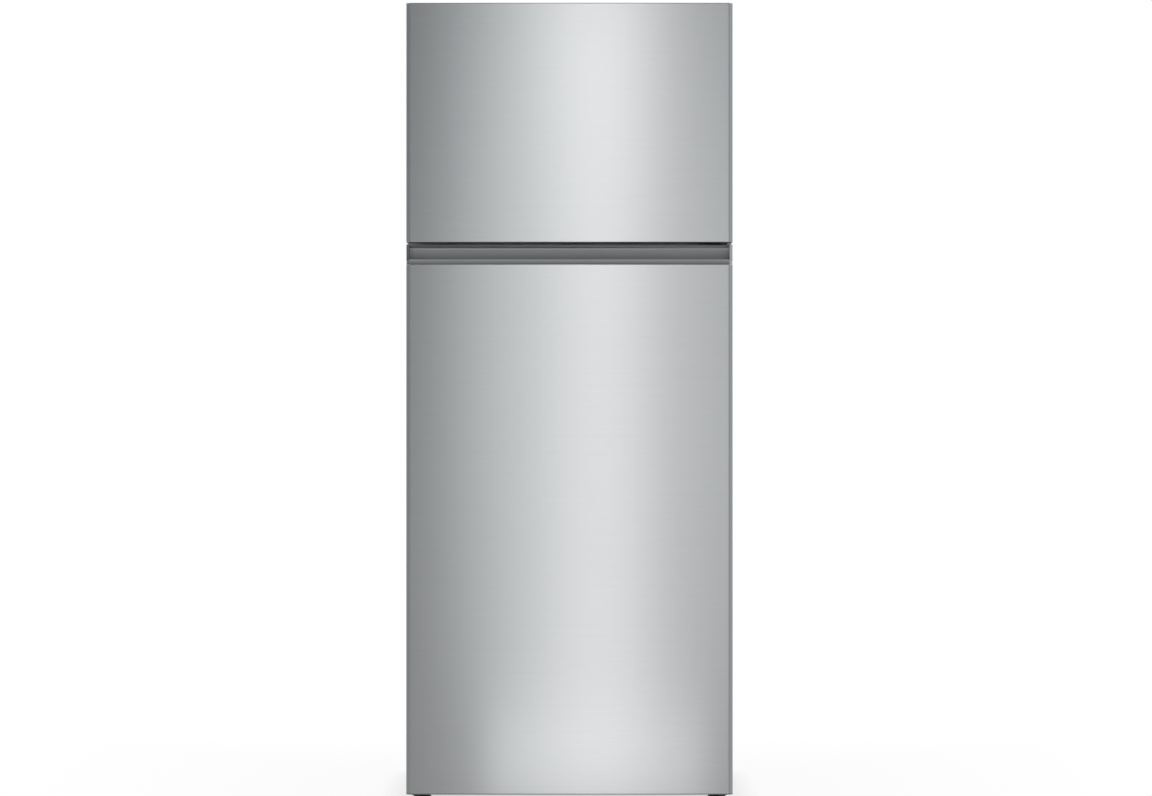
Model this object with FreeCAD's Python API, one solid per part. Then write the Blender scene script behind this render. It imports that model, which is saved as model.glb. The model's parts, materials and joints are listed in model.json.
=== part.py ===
import FreeCAD, Part
import math
import os

# Top freezer refrigerator, frost free, doors hinged on the right.
# Millimetres. X to the right, Y from the doors to the back, Z up.
# The origin is on the floor, under the middle of the appliance.

Vector = FreeCAD.Vector

# ---------------------------------------------------------------- overall sizes
WIDTH = 700.0
DEPTH = 690.0
DOOR_BOTTOM = 26.0            # floor to the underside of the fridge door
FRIDGE_SKIN_HEIGHT = 1137.0
HANDLE_HEIGHT = 42.0
DOOR_GAP = 5.0
FREEZER_DOOR_HEIGHT = 513.0
DOOR_RISE = 22.0              # door top above the cabinet top
CABINET_BOTTOM = 40.0

# ---------------------------------------------------------------- walls
SHEET = 0.8                   # outer steel
BASE_SHEET = 1.2              # base frame steel
LINER = 1.5                   # vacuum formed plastic
SIDE_WALL = 55.0
TOP_WALL = 55.0
BOTTOM_WALL = 55.0
FRIDGE_BACK_WALL = 60.0
FREEZER_BACK_WALL = 70.0
MULLION_WALL = 85.0
MACHINE_DEPTH = 165.0
MACHINE_HEIGHT = 210.0
STEP_FRONT_WALL = 50.0
STEP_TOP_WALL = 60.0
LINER_LIP = 6.0               # liner edge seen round each opening
CABINET_EDGE_RADIUS = 6.0
LINER_CORNER_RADIUS = 16.0
FOAM_SEAM = 0.2               # between the blocks of insulation

# ---------------------------------------------------------------- doors
DOOR_THICKNESS = 60.0
SEAL_GAP = 10.0
FACET_WIDTH = 8.0             # sloping band along each vertical front edge
FACET_DEPTH = 5.0
REAR_CHAMFER = 4.0
SKIN_EDGE_RADIUS = 1.5
SKIN_FOLD = 11.0              # skin turned over the top and bottom of the door
SKIN_BACK_FLANGE = 10.0
CAP_HEIGHT = 22.0
TOP_CAP_HEIGHT = 33.0
CAP_WALL = 4.0
SEAL_INSET = 17.0
SEAL_WIDTH = 14.0
SEAL_THICKNESS = 9.4
SEAL_BASE = 3.0
DIKE_CLEARANCE = 12.0         # door liner rim inside the cabinet opening
DIKE_WIDTH = 30.0
DIKE_HEIGHT = 45.0
DIKE_END = 25.0
DIKE_RADIUS = 6.0
PULL_GROOVE_DEPTH = 12.0
PULL_GROOVE_WIDTH = 18.0
PULL_GROOVE_WALL = 12.0

# ---------------------------------------------------------------- recessed handle
LIP_HEIGHT = 10.4             # above the fridge door skin
LIP_THICKNESS = 5.8
POCKET_DEPTH = 14.0           # below the top of the lip
POCKET_WIDTH = 20.0
SCOOP_RISE = 34.5             # skin top to the upper edge of the scoop
SCOOP_FRONT = 13.0            # door front to the upper edge of the scoop
SCOOP_EDGE = 2.0
RISER_DEPTH = 32.5            # door front to the upright above the scoop
HANDLE_PLUG = 18.0            # part of the handle that sits inside the skin
END_CAP_WIDTH = 7.0
END_CAP_BASE = 8.0            # the lip carries on under the end caps

# ---------------------------------------------------------------- hinges and feet
HINGE_INSET = 20.0            # pin centre from the cabinet side
HINGE_SETBACK = 40.0          # pin centre from the door front
PIN_RADIUS = 4.0
PIN_LENGTH = 18.0
RUNNING = 0.08                # radial clearance of pins and studs
ARM_THICKNESS = 3.0
ARM_HALF_WIDTH = 9.0
HINGE_CLEARANCE = 1.0
HINGE_NOTCH_FRONT = 12.0
HINGE_NOTCH_LEFT = 18.0
MIDDLE_FLANGE = 2.0
MIDDLE_FLANGE_HEIGHT = 31.0
BRACKET_WIDTH = 40.6
FOOT_RADIUS = 20.0
FOOT_HEIGHT = 14.0
FOOT_SETBACK = 30.0           # behind the cabinet front
STUD_RADIUS = 5.0
NUT_HEIGHT = 8.0
NUT_RADIUS = 9.0
ROLLER_RADIUS = 18.0
ROLLER_WIDTH = 22.0
ROLLER_INSET = 50.0
ROLLER_SETBACK = 28.0
AXLE_RADIUS = 4.0
SCREW_RADIUS = 2.5
SCREW_HEAD = 5.0
SCREW_HEAD_HEIGHT = 3.0
SCREW_LENGTH = 12.0
HINGE_COVER_HEIGHT = 20.0

# ---------------------------------------------------------------- fridge compartment
SHELF_FRONT = 110.0           # shelf edge behind the cabinet front
SHELF_BACK_GAP = 30.0
SHELF_COUNT = 3
GLASS = 4.0
LEDGE_WIDTH = 8.0
LEDGE_HEIGHT = 6.0
TRIM_HEIGHT = 14.0
TRIM_DEPTH = 14.0
SLIDE_CLEARANCE = 0.3
CRISPER_FRONT = 140.0         # drawer face behind the cabinet front
CRISPER_BACK_GAP = 10.0
CRISPER_GAP = 6.0
CRISPER_WALL = 2.5
CRISPER_COVER_HEIGHT = 18.0
CRISPER_HEADROOM = 4.0
DRAWER_GRIP = 14.0
HUMIDITY_SLOT_LENGTH = 76.0
HUMIDITY_SLOT_HEIGHT = 6.0
HUMIDITY_KNOB = 20.0
DUCT_WIDTH = 180.0
DUCT_DEPTH = 22.0
DUCT_WALL = 2.5
CONTROL_WIDTH = 220.0
CONTROL_DEPTH = 66.0
CONTROL_HEIGHT = 30.0
CONTROL_FRONT = 60.0          # behind the cabinet front
KNOB_RADIUS = 13.0
KNOB_DEPTH = 12.0
KNOB_SHAFT = 3.0
LAMP_WIDTH = 130.0
LAMP_DEPTH = 46.0
LAMP_HEIGHT = 12.0

# ---------------------------------------------------------------- freezer compartment
EVAPORATOR_SPACE = 66.0
COVER_SHEET = 4.0
FAN_RADIUS = 52.0
FAN_HUB = 16.0
FAN_DEPTH = 16.0
FAN_BLADES = 5
FAN_BELOW_TOP = 96.0
FAN_SHAFT = 2.5
FREEZER_SHELF_RISE = 200.0
FREEZER_SHELF_FRONT = 95.0
ICE_FRAME_WIDTH = 246.0
ICE_FRAME_DEPTH = 240.0
ICE_FRAME_FRONT = 125.0
ICE_FRAME_WALL = 3.0
ICE_BIN_HEIGHT = 78.0
ICE_TRAY_WIDTH = 90.0
ICE_TRAY_HEIGHT = 28.0
ICE_TRAY_WALL = 2.0
ICE_TRAY_PITCH = 120.0
ICE_CELLS = 6
ICE_CHANNEL = 5.0             # dividers stop this far below the tray rim
ICE_PIVOT = 4.0
ICE_KNOB = 14.0
SLIDER_KNOB = 24.0
SLIDER_SLOT = 84.0

# ---------------------------------------------------------------- door storage
BIN_WALL = 2.5
BIN_RADIUS = 10.0
BIN_CLEARANCE = 0.3
BIN_DEPTH = 92.0
FREEZER_BIN_DEPTH = 80.0
BIN_LIP = 3.0
LUG = 8.0
LUG_DEPTH = 40.0
BOTTLE_BIN_RISE = 46.0
BOTTLE_BIN_HEIGHT = 170.0
SMALL_BIN_HEIGHT = 95.0
BIN_STEPS = (284.0, 250.0, 220.0)    # from the bottle bin up to the dairy bin, in proportion
DAIRY_BIN_DROP = 270.0        # fridge ceiling down to the floor of the dairy bin
DAIRY_BIN_HEIGHT = 100.0
FREEZER_BIN_RISES = (46.0, 208.0)
LID_THICKNESS = 2.5
LID_PIVOT = 3.0
LID_SKIRT = 34.0

# ---------------------------------------------------------------- cold circuit
COMPRESSOR_RADIUS = 72.0
COMPRESSOR_HEIGHT = 128.0
COMPRESSOR_X = 150.0
COMPRESSOR_FOOT = 3.0
RELAY_DEPTH = 32.0
GROMMET_HEIGHT = 14.0
GROMMET_RADIUS = 11.0
TUBE_RADIUS = 2.5
CONDENSER_RUNS = 6
CONDENSER_PITCH = 26.0
DRAIN_RADIUS = 8.0
FIN_COUNT = 23
FIN_THICKNESS = 1.0
GLAND_RADIUS = 9.0
GLAND_BORE = 4.0
GLAND_LENGTH = 10.0
COVER_RECESS = 5.0
MACHINE_COVER_SHEET = 2.0
LOUVRE_HEIGHT = 5.0
LOUVRE_PITCH = 14.0

# ---------------------------------------------------------------- derived places
SIDE = WIDTH / 2
FRONT = -DEPTH / 2
BACK = DEPTH / 2
DOOR_BACK = FRONT + DOOR_THICKNESS
CABINET_FRONT = DOOR_BACK + SEAL_GAP
SKIN_TOP = DOOR_BOTTOM + FRIDGE_SKIN_HEIGHT
FRIDGE_DOOR_TOP = SKIN_TOP + HANDLE_HEIGHT
FREEZER_DOOR_BOTTOM = FRIDGE_DOOR_TOP + DOOR_GAP
TOP = FREEZER_DOOR_BOTTOM + FREEZER_DOOR_HEIGHT
CABINET_TOP = TOP - DOOR_RISE
SPLIT = (FRIDGE_DOOR_TOP + FREEZER_DOOR_BOTTOM) / 2
INNER = SIDE - SIDE_WALL
FRIDGE_FLOOR = CABINET_BOTTOM + BOTTOM_WALL
FRIDGE_CEILING = SPLIT - MULLION_WALL / 2
FREEZER_FLOOR = SPLIT + MULLION_WALL / 2
FREEZER_CEILING = CABINET_TOP - TOP_WALL
FRIDGE_BACK = BACK - FRIDGE_BACK_WALL
FREEZER_BACK = BACK - FREEZER_BACK_WALL
MACHINE_FRONT = BACK - MACHINE_DEPTH
MACHINE_TOP = CABINET_BOTTOM + MACHINE_HEIGHT
STEP_Y = MACHINE_FRONT - STEP_FRONT_WALL
STEP_Z = MACHINE_TOP + STEP_TOP_WALL
OPENING = INNER + LINER_LIP
HINGE_X = SIDE - HINGE_INSET
HINGE_Y = FRONT + HINGE_SETBACK
BRACKET_X = HINGE_X - 11.0
FOOT_Y = CABINET_FRONT + FOOT_SETBACK
COVER_Y = FREEZER_BACK - EVAPORATOR_SPACE - COVER_SHEET
DIKE = INNER - DIKE_CLEARANCE
BIN_HALF = DIKE - DIKE_WIDTH - BIN_CLEARANCE
CRISPER_TOP = STEP_Z - CRISPER_COVER_HEIGHT - CRISPER_HEADROOM
CRISPER_BACK = STEP_Y - CRISPER_BACK_GAP
CRISPER_Y = CABINET_FRONT + CRISPER_FRONT
SHELF_Y = CABINET_FRONT + SHELF_FRONT
SHELF_END = FRIDGE_BACK - SHELF_BACK_GAP
SHELF_STEP = (FRIDGE_CEILING - STEP_Z) / (SHELF_COUNT + 1)
SHELF_LEVELS = [STEP_Z + SHELF_STEP * (n + 1) for n in range(SHELF_COUNT)]
FAN_Z = FREEZER_CEILING - FAN_BELOW_TOP
FAN_Y = COVER_Y + COVER_SHEET + 4.0
FREEZER_SHELF_Z = FREEZER_FLOOR + FREEZER_SHELF_RISE
ICE_LEFT = -INNER + LINER_CORNER_RADIUS + 2.0
ICE_RIGHT = ICE_LEFT + ICE_FRAME_WIDTH
ICE_FRONT = CABINET_FRONT + ICE_FRAME_FRONT
ICE_END = ICE_FRONT + ICE_FRAME_DEPTH
ICE_TOP = FREEZER_SHELF_Z - GLASS - 4.0
ICE_MIDDLE = (ICE_LEFT + ICE_RIGHT) / 2
ICE_BIN_TOP = FREEZER_FLOOR + ICE_BIN_HEIGHT + 2.0
ICE_PIVOT_Z = ICE_TOP - ICE_FRAME_WALL - 52.0
CONTROL_Y = CABINET_FRONT + CONTROL_FRONT
CONTROL_Z = FRIDGE_CEILING - CONTROL_HEIGHT
KNOB_Z = FRIDGE_CEILING - CONTROL_HEIGHT / 2 - 1.0
LID_Y = DOOR_BACK + 8.0
DAIRY_Z = FRIDGE_CEILING - DAIRY_BIN_DROP
LID_Z = DAIRY_Z + DAIRY_BIN_HEIGHT + 7.0
MACHINE_FLOOR = CABINET_BOTTOM + 2.5
MACHINE_COVER_Y = BACK - COVER_RECESS
GLAND_X = -250.0
GLAND_Z = CABINET_BOTTOM + 40.0
COMPRESSOR_Y = (MACHINE_FRONT + MACHINE_COVER_Y) / 2
FOAM_TUBE_Y = (FRIDGE_BACK + BACK) / 2
HUMIDITY_Z = STEP_Z - CRISPER_COVER_HEIGHT / 2
SLIDER_Z = FREEZER_FLOOR + 42.0


# ---------------------------------------------------------------- plain helpers
def box(x0, x1, y0, y1, z0, z1):
    """A block between two corners."""
    return Part.makeBox(x1 - x0, y1 - y0, z1 - z0, Vector(x0, y0, z0))


def rod(x, y, z, radius, length, axis):
    """A cylinder that starts at a point and runs along axis."""
    return Part.makeCylinder(radius, length, Vector(x, y, z), Vector(*axis))


def prism(points, axis, start, end):
    """A flat outline, given in the two other axes in order, pulled along axis from start to end."""
    place = {
        "X": lambda a, b: Vector(start, a, b),
        "Y": lambda a, b: Vector(a, start, b),
        "Z": lambda a, b: Vector(a, b, start),
    }[axis]
    way = {"X": Vector(1, 0, 0), "Y": Vector(0, 1, 0), "Z": Vector(0, 0, 1)}[axis]
    corners = [place(a, b) for a, b in points]
    wire = Part.makePolygon(corners + corners[:1])
    return Part.Face(wire).extrude(way * (end - start))


def edges_along(shape, axis, test=None):
    """The straight edges that run along an axis, where test(middle point) holds."""
    found = []
    for edge in shape.Edges:
        if len(edge.Vertexes) != 2:
            continue
        run = edge.Vertexes[1].Point - edge.Vertexes[0].Point
        if run.Length < 1e-6 or abs(abs(run.normalize().dot(Vector(*axis))) - 1) > 1e-6:
            continue
        if test is None or test(edge.CenterOfMass):
            found.append(edge)
    return found


def rounded(shape, radius, axis, test=None):
    """The shape with its edges along an axis rounded."""
    return shape.makeFillet(radius, edges_along(shape, axis, test))


def joined(shapes):
    """Several touching solids made one."""
    whole = shapes[0]
    for shape in shapes[1:]:
        whole = whole.fuse(shape)
    return whole.removeSplitter()


def without(shape, tools):
    """The shape with each tool cut out of it."""
    for tool in tools:
        shape = shape.cut(tool)
    return shape


def both_sides(make):
    """What make(side) gives for the left, -1, and the right, +1."""
    return [make(-1), make(1)]


def tube(points, radius, bend):
    """A round bar along straight runs that are joined by tangent arcs."""
    corners = [Vector(*p) for p in points]
    edges = []
    here = corners[0]
    for before, corner, after in zip(corners, corners[1:], corners[2:]):
        back = (before - corner).normalize()
        ahead = (after - corner).normalize()
        half = back.getAngle(ahead) / 2
        reach = bend / math.tan(half)
        start = corner + back * reach
        end = corner + ahead * reach
        centre = corner + (back + ahead).normalize() * (bend / math.sin(half))
        middle = centre + (corner - centre).normalize() * bend
        edges.append(Part.LineSegment(here, start).toShape())
        edges.append(Part.Arc(start, middle, end).toShape())
        here = end
    edges.append(Part.LineSegment(here, corners[-1]).toShape())
    section = Part.Wire(Part.makeCircle(radius, corners[0], corners[1] - corners[0]))
    return Part.Wire(edges).makePipeShell([section], True, False)


def open_box(x0, x1, y0, y1, z0, z1, wall, radius):
    """A bin: a floor and four walls, with its upright corners rounded."""
    outer = rounded(box(x0, x1, y0, y1, z0, z1), radius, (0, 0, 1))
    room = box(x0 + wall, x1 - wall, y0 + wall, y1 - wall, z0 + wall, z1)
    return outer.cut(rounded(room, radius - wall, (0, 0, 1)))


# ---------------------------------------------------------------- cabinet
def cabinet_block(inset):
    """The outside of the cabinet, or the space inside its steel, with rounded top edges."""
    block = box(-SIDE + inset, SIDE - inset, CABINET_FRONT + inset, BACK, CABINET_BOTTOM, CABINET_TOP - inset)
    return rounded(block, CABINET_EDGE_RADIUS - inset, (0, 1, 0), lambda p: p.z > CABINET_BOTTOM + 1)


def cabinet_wrapper():
    """Both sides, the top and the front flange, folded from one sheet."""
    doorway = box(-OPENING, OPENING, CABINET_FRONT - 1, CABINET_FRONT + 2,
                  CABINET_BOTTOM - 1, FREEZER_CEILING + LINER_LIP)
    return cabinet_block(0).cut(cabinet_block(SHEET)).cut(doorway)


def fridge_space(grow):
    """The fridge compartment with its step over the machine space and square corners, grown outwards."""
    points = [
        (CABINET_FRONT, FRIDGE_FLOOR - grow),
        (STEP_Y + grow, FRIDGE_FLOOR - grow),
        (STEP_Y + grow, STEP_Z - grow),
        (FRIDGE_BACK + grow, STEP_Z - grow),
        (FRIDGE_BACK + grow, FRIDGE_CEILING + grow),
        (CABINET_FRONT, FRIDGE_CEILING + grow),
    ]
    return prism(points, "X", -INNER - grow, INNER + grow)


def freezer_space(grow):
    """The freezer compartment with square corners, grown outwards."""
    return box(-INNER - grow, INNER + grow, CABINET_FRONT, FREEZER_BACK + grow,
               FREEZER_FLOOR - grow, FREEZER_CEILING + grow)


def fridge_room(grow):
    """The fridge compartment with the liner's rounded corners, grown outwards."""
    return rounded(fridge_space(grow), LINER_CORNER_RADIUS + grow, (0, 1, 0),
                   lambda p: p.z < FRIDGE_FLOOR + 1 or p.z > FRIDGE_CEILING - 1)


def freezer_room(grow):
    """The freezer compartment with the liner's rounded corners, grown outwards."""
    return rounded(freezer_space(grow), LINER_CORNER_RADIUS + grow, (0, 1, 0))


def liner_lip(z0, z1):
    """The flat edge of a liner round its opening."""
    return box(-OPENING, OPENING, CABINET_FRONT, CABINET_FRONT + LINER, z0 - LINER_LIP, z1 + LINER_LIP)


def ledge(level, end):
    """A pair of ribs along the side walls that carry a shelf whose underside is at level."""
    front = CABINET_FRONT + SHELF_FRONT - 10.0
    return both_sides(lambda s: box(min(s * INNER, s * (INNER - LEDGE_WIDTH)),
                                    max(s * INNER, s * (INNER - LEDGE_WIDTH)),
                                    front, end, level - LEDGE_HEIGHT, level))


def air_passage():
    """The opening through the mullion that lets cold air down into the fridge duct."""
    return box(-60, 60, FRIDGE_BACK - DUCT_DEPTH + 3, FRIDGE_BACK - 4, FRIDGE_CEILING - 10, FREEZER_FLOOR + 10)


def fridge_liner():
    """The white inner wall of the fridge compartment, with shelf ribs."""
    shell = fridge_room(LINER).fuse(liner_lip(FRIDGE_FLOOR, FRIDGE_CEILING)).cut(fridge_room(0))
    ribs = []
    for level in SHELF_LEVELS:
        ribs += ledge(level, SHELF_END)
    ribs += ledge(STEP_Z - CRISPER_COVER_HEIGHT, STEP_Y)
    return without(joined([shell] + ribs), [air_passage()])


def freezer_liner():
    """The white inner wall of the freezer compartment, with shelf ribs."""
    shell = freezer_room(LINER).fuse(liner_lip(FREEZER_FLOOR, FREEZER_CEILING)).cut(freezer_room(0))
    ribs = ledge(FREEZER_SHELF_Z - GLASS, COVER_Y)
    return without(joined([shell] + ribs), [air_passage(), drain_tube(), suction_tube()])


def mullion_strip():
    """The steel strip between the two compartments that both door seals grip."""
    return box(-OPENING, OPENING, CABINET_FRONT, CABINET_FRONT + SHEET,
               FRIDGE_CEILING + LINER_LIP, FREEZER_FLOOR - LINER_LIP)


def base_frame():
    """The folded steel underside, the machine space and the plate that carries the compressor."""
    inner = SIDE - SHEET
    below = CABINET_BOTTOM
    floor = box(-inner, inner, CABINET_FRONT + SHEET, MACHINE_FRONT, below, below + BASE_SHEET)
    front = box(-OPENING, OPENING, CABINET_FRONT, CABINET_FRONT + SHEET, below, FRIDGE_FLOOR - LINER_LIP)
    riser = box(-inner, inner, MACHINE_FRONT, MACHINE_FRONT + BASE_SHEET, below, MACHINE_TOP)
    roof = box(-inner, inner, MACHINE_FRONT, BACK, MACHINE_TOP - BASE_SHEET, MACHINE_TOP)
    plate = box(-inner, inner, MACHINE_FRONT, MACHINE_COVER_Y, below, MACHINE_FLOOR)
    cheeks = both_sides(lambda s: box(min(s * inner, s * (inner - BASE_SHEET)),
                                      max(s * inner, s * (inner - BASE_SHEET)),
                                      MACHINE_FRONT, BACK, below, MACHINE_TOP))
    return without(joined([floor, front, riser, roof, plate] + cheeks), [drain_tube(), suction_tube()])


def back_panel():
    """The steel sheet over the back of the foam."""
    slab = box(-SIDE, SIDE, BACK - SHEET, BACK, MACHINE_TOP, CABINET_TOP)
    return slab.common(cabinet_block(SHEET))


def foam_seams():
    """Hairline gaps that part the insulation into plain blocks around the two compartments."""
    gap = FOAM_SEAM
    wall = INNER + LINER
    low, high = CABINET_BOTTOM, CABINET_TOP
    ceiling = FRIDGE_CEILING + LINER
    deck = FREEZER_FLOOR - LINER
    roof = FREEZER_CEILING + LINER
    step = STEP_Z - LINER
    fridge_back = FRIDGE_BACK + LINER
    freezer_back = FREEZER_BACK + LINER
    passage = air_passage().BoundBox
    seams = both_sides(lambda s: box(min(s * wall, s * (wall + gap)), max(s * wall, s * (wall + gap)),
                                     CABINET_FRONT, BACK, low, high))
    seams += both_sides(lambda s: box(min(s * passage.XMax, s * (passage.XMax + gap)),
                                      max(s * passage.XMax, s * (passage.XMax + gap)),
                                      passage.YMin, BACK, ceiling, deck))
    seams += [
        box(-SIDE, SIDE, CABINET_FRONT, BACK, MACHINE_TOP, MACHINE_TOP + gap),
        box(-wall, wall, STEP_Y + LINER, STEP_Y + LINER + gap, low, FRIDGE_FLOOR),
        box(-wall, wall, fridge_back - gap, BACK, step - gap, step),
        box(-wall, wall, fridge_back - gap, BACK, ceiling, ceiling + gap),
        box(-wall, wall, freezer_back - gap, BACK, deck - gap, deck),
        box(-wall, wall, freezer_back - gap, BACK, roof, roof + gap),
        box(-wall, wall, passage.YMin - gap, passage.YMin, ceiling, deck),
    ]
    return seams


def cabinet_foam():
    """The insulation foamed in place between the steel and the liners, in blocks that nearly touch."""
    block = cabinet_block(SHEET)
    removed = [
        box(-SIDE, SIDE, CABINET_FRONT, BACK, CABINET_BOTTOM - 1, CABINET_BOTTOM + BASE_SHEET),
        box(-SIDE, SIDE, MACHINE_FRONT, BACK + 1, CABINET_BOTTOM - 1, MACHINE_TOP),
        box(-SIDE, SIDE, BACK - SHEET, BACK + 1, MACHINE_TOP - 1, CABINET_TOP + 1),
        fridge_space(LINER),
        freezer_space(LINER),
        liner_lip(FRIDGE_FLOOR, FRIDGE_CEILING),
        liner_lip(FREEZER_FLOOR, FREEZER_CEILING),
        air_passage(),
        drain_tube(),
        suction_tube(),
    ]
    return without(block, removed + foam_seams())


# ---------------------------------------------------------------- doors
def door_outline(inset):
    """The door seen from above: flat front, a sloping band at each edge, chamfered back corners."""
    points = [
        (-SIDE + FACET_WIDTH, FRONT),
        (SIDE - FACET_WIDTH, FRONT),
        (SIDE, FRONT + FACET_DEPTH),
        (SIDE, DOOR_BACK - REAR_CHAMFER),
        (SIDE - REAR_CHAMFER, DOOR_BACK),
        (-SIDE + REAR_CHAMFER, DOOR_BACK),
        (-SIDE, DOOR_BACK - REAR_CHAMFER),
        (-SIDE, FRONT + FACET_DEPTH),
    ]
    corners = [Vector(x, y, 0) for x, y in points]
    face = Part.Face(Part.makePolygon(corners + corners[:1]))
    if inset:
        face = face.makeOffset2D(-inset, 2)
    return face


def door_block(inset, z0, z1):
    """A length of the door, full size or inside its skin."""
    face = door_outline(inset)
    face.translate(Vector(0, 0, z0))
    return face.extrude(Vector(0, 0, z1 - z0))


def skin_block(inset, z0, z1):
    """The outside or inside of a door skin, with its front edges rounded."""
    block = door_block(inset, z0 + inset, z1 - inset)
    bend = FRONT + FACET_DEPTH + inset
    front = [e for e in block.Edges
             if e.BoundBox.YMax < bend + 0.5
             and (e.BoundBox.ZLength < 1e-3 or e.BoundBox.YMax > bend - 0.5 or e.BoundBox.ZLength > 10)]
    return block.makeFillet(SKIN_EDGE_RADIUS + 0.4 - inset / 2, front)


def door_skin(z0, z1):
    """One steel sheet folded round the front, sides, back edges, top and bottom of a door."""
    opening = SIDE - REAR_CHAMFER - SKIN_BACK_FLANGE
    fold = FRONT + SKIN_FOLD
    return without(skin_block(0, z0, z1), [
        skin_block(SHEET, z0, z1),
        box(-opening, opening, DOOR_BACK - SHEET * 1.5, DOOR_BACK + 1, z0 - 1, z1 + 1),
        door_block(SHEET, z0 - 1, z0 + SHEET).common(box(-SIDE, SIDE, fold, DOOR_BACK, z0 - 2, z1)),
        door_block(SHEET, z1 - SHEET, z1 + 1).common(box(-SIDE, SIDE, fold, DOOR_BACK, z0, z1 + 2)),
    ])


def inside_skin(z0, z1, low, high):
    """The space a door skin leaves free, between two levels."""
    room = skin_block(SHEET, z0, z1)
    behind_fold = box(-SIDE, SIDE, FRONT + SKIN_FOLD, DOOR_BACK, z0 - 1, z1 + 1)
    ends = [door_block(SHEET, z0, z0 + SHEET), door_block(SHEET, z1 - SHEET, z1)]
    room = joined([room] + [end.common(behind_fold) for end in ends])
    return room.common(box(-SIDE, SIDE, FRONT, DOOR_BACK, low, high))


def hinge_notch():
    """The corner of the freezer door that the top hinge arm turns in."""
    return box(HINGE_X - HINGE_NOTCH_LEFT, SIDE + 1, FRONT + HINGE_NOTCH_FRONT, DOOR_BACK + 1,
               CABINET_TOP - HINGE_CLEARANCE, TOP + 1)


def pin_hole(z0, z1):
    """The bush hole that a hinge pin turns in."""
    return rod(HINGE_X, HINGE_Y, z0, PIN_RADIUS + RUNNING, z1 - z0, (0, 0, 1))


def cap_pocket(z0, z1):
    """The hollow of a door cap, left solid round the hinge."""
    return box(-SIDE + SHEET + CAP_WALL, HINGE_X - HINGE_NOTCH_LEFT - CAP_WALL,
               FRONT + SHEET + CAP_WALL, DOOR_BACK - LINER - CAP_WALL, z0, z1)


def liner_plate(z0, z1):
    """The flat back of a door, inside the turned edges of the skin."""
    half = SIDE - REAR_CHAMFER - SKIN_BACK_FLANGE
    return box(-half, half, DOOR_BACK - LINER, DOOR_BACK, z0, z1)


def dike_ring(shrink, z0, z1):
    """The rim on the back of a door that fills the cabinet opening, with rounded edges."""
    far = DOOR_BACK + DIKE_HEIGHT - shrink
    near = DOOR_BACK - LINER
    outer = box(-DIKE + shrink, DIKE - shrink, near, far, z0 + shrink, z1 - shrink)
    outer = rounded(outer, LINER_CORNER_RADIUS - shrink, (0, 1, 0))
    outer = outer.makeFillet(DIKE_RADIUS - shrink, [e for e in outer.Edges if e.BoundBox.YMin > far - 1e-3])
    wide = DIKE - DIKE_WIDTH + shrink
    inner = box(-wide, wide, near - 1, far + 1, z0 + DIKE_END - shrink, z1 - DIKE_END + shrink)
    return outer.cut(inner)


def bin_lugs(levels):
    """The small brackets on the rim that carry the ends of the door bins."""
    half = DIKE - DIKE_WIDTH
    lugs = []
    for level in levels:
        lugs += both_sides(lambda s: box(min(s * half, s * (half - LUG)), max(s * half, s * (half - LUG)),
                                         DOOR_BACK, DOOR_BACK + LUG_DEPTH, level - LUG, level))
    return lugs


def door_liner(z0, z1, dike0, dike1, levels):
    """The white inner panel of a door: plate, hollow rim and bin brackets."""
    shell = liner_plate(z0, z1).fuse(dike_ring(0, dike0, dike1)).cut(dike_ring(LINER, dike0, dike1))
    return joined([shell] + bin_lugs(levels))


def door_foam(block, dike0, dike1, fittings):
    """The insulation inside a door, with the caps and liner taken out of it."""
    block = block.cut(liner_plate(0, TOP + 1))
    return without(block.fuse(dike_ring(LINER, dike0, dike1)).removeSplitter(), fittings)


def door_seal(z0, z1):
    """The magnetic seal: a flat base and a softer bellows on it."""
    outer = SIDE - SEAL_INSET

    def ring(trim, y0, y1):
        whole = box(-outer + trim, outer - trim, y0, y1, z0 + trim, z1 - trim)
        inside = outer - SEAL_WIDTH + trim
        hole = box(-inside, inside, y0 - 1, y1 + 1, z0 + SEAL_WIDTH - trim, z1 - SEAL_WIDTH + trim)
        return whole.cut(hole)

    waist = DOOR_BACK + SEAL_BASE
    neck = waist + 1.5
    return joined([ring(0, DOOR_BACK, waist), ring(2.5, waist, neck), ring(0.6, neck, DOOR_BACK + SEAL_THICKNESS)])


DIKE_FREEZER = (FREEZER_FLOOR + DIKE_CLEARANCE, FREEZER_CEILING - DIKE_CLEARANCE)
DIKE_FRIDGE = (FRIDGE_FLOOR + DIKE_CLEARANCE, FRIDGE_CEILING - DIKE_CLEARANCE)
def fridge_bin_levels():
    """The bottle bin near the floor, the dairy bin below the ceiling and the small ones between."""
    low = FRIDGE_FLOOR + BOTTLE_BIN_RISE
    climb = (DAIRY_Z - low) / sum(BIN_STEPS)
    return [low + climb * sum(BIN_STEPS[:n]) for n in range(len(BIN_STEPS) + 1)]


FREEZER_BIN_LEVELS = [FREEZER_FLOOR + rise for rise in FREEZER_BIN_RISES]
FRIDGE_BIN_LEVELS = fridge_bin_levels()


def freezer_door_skin():
    return door_skin(FREEZER_DOOR_BOTTOM, TOP).cut(hinge_notch())


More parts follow.
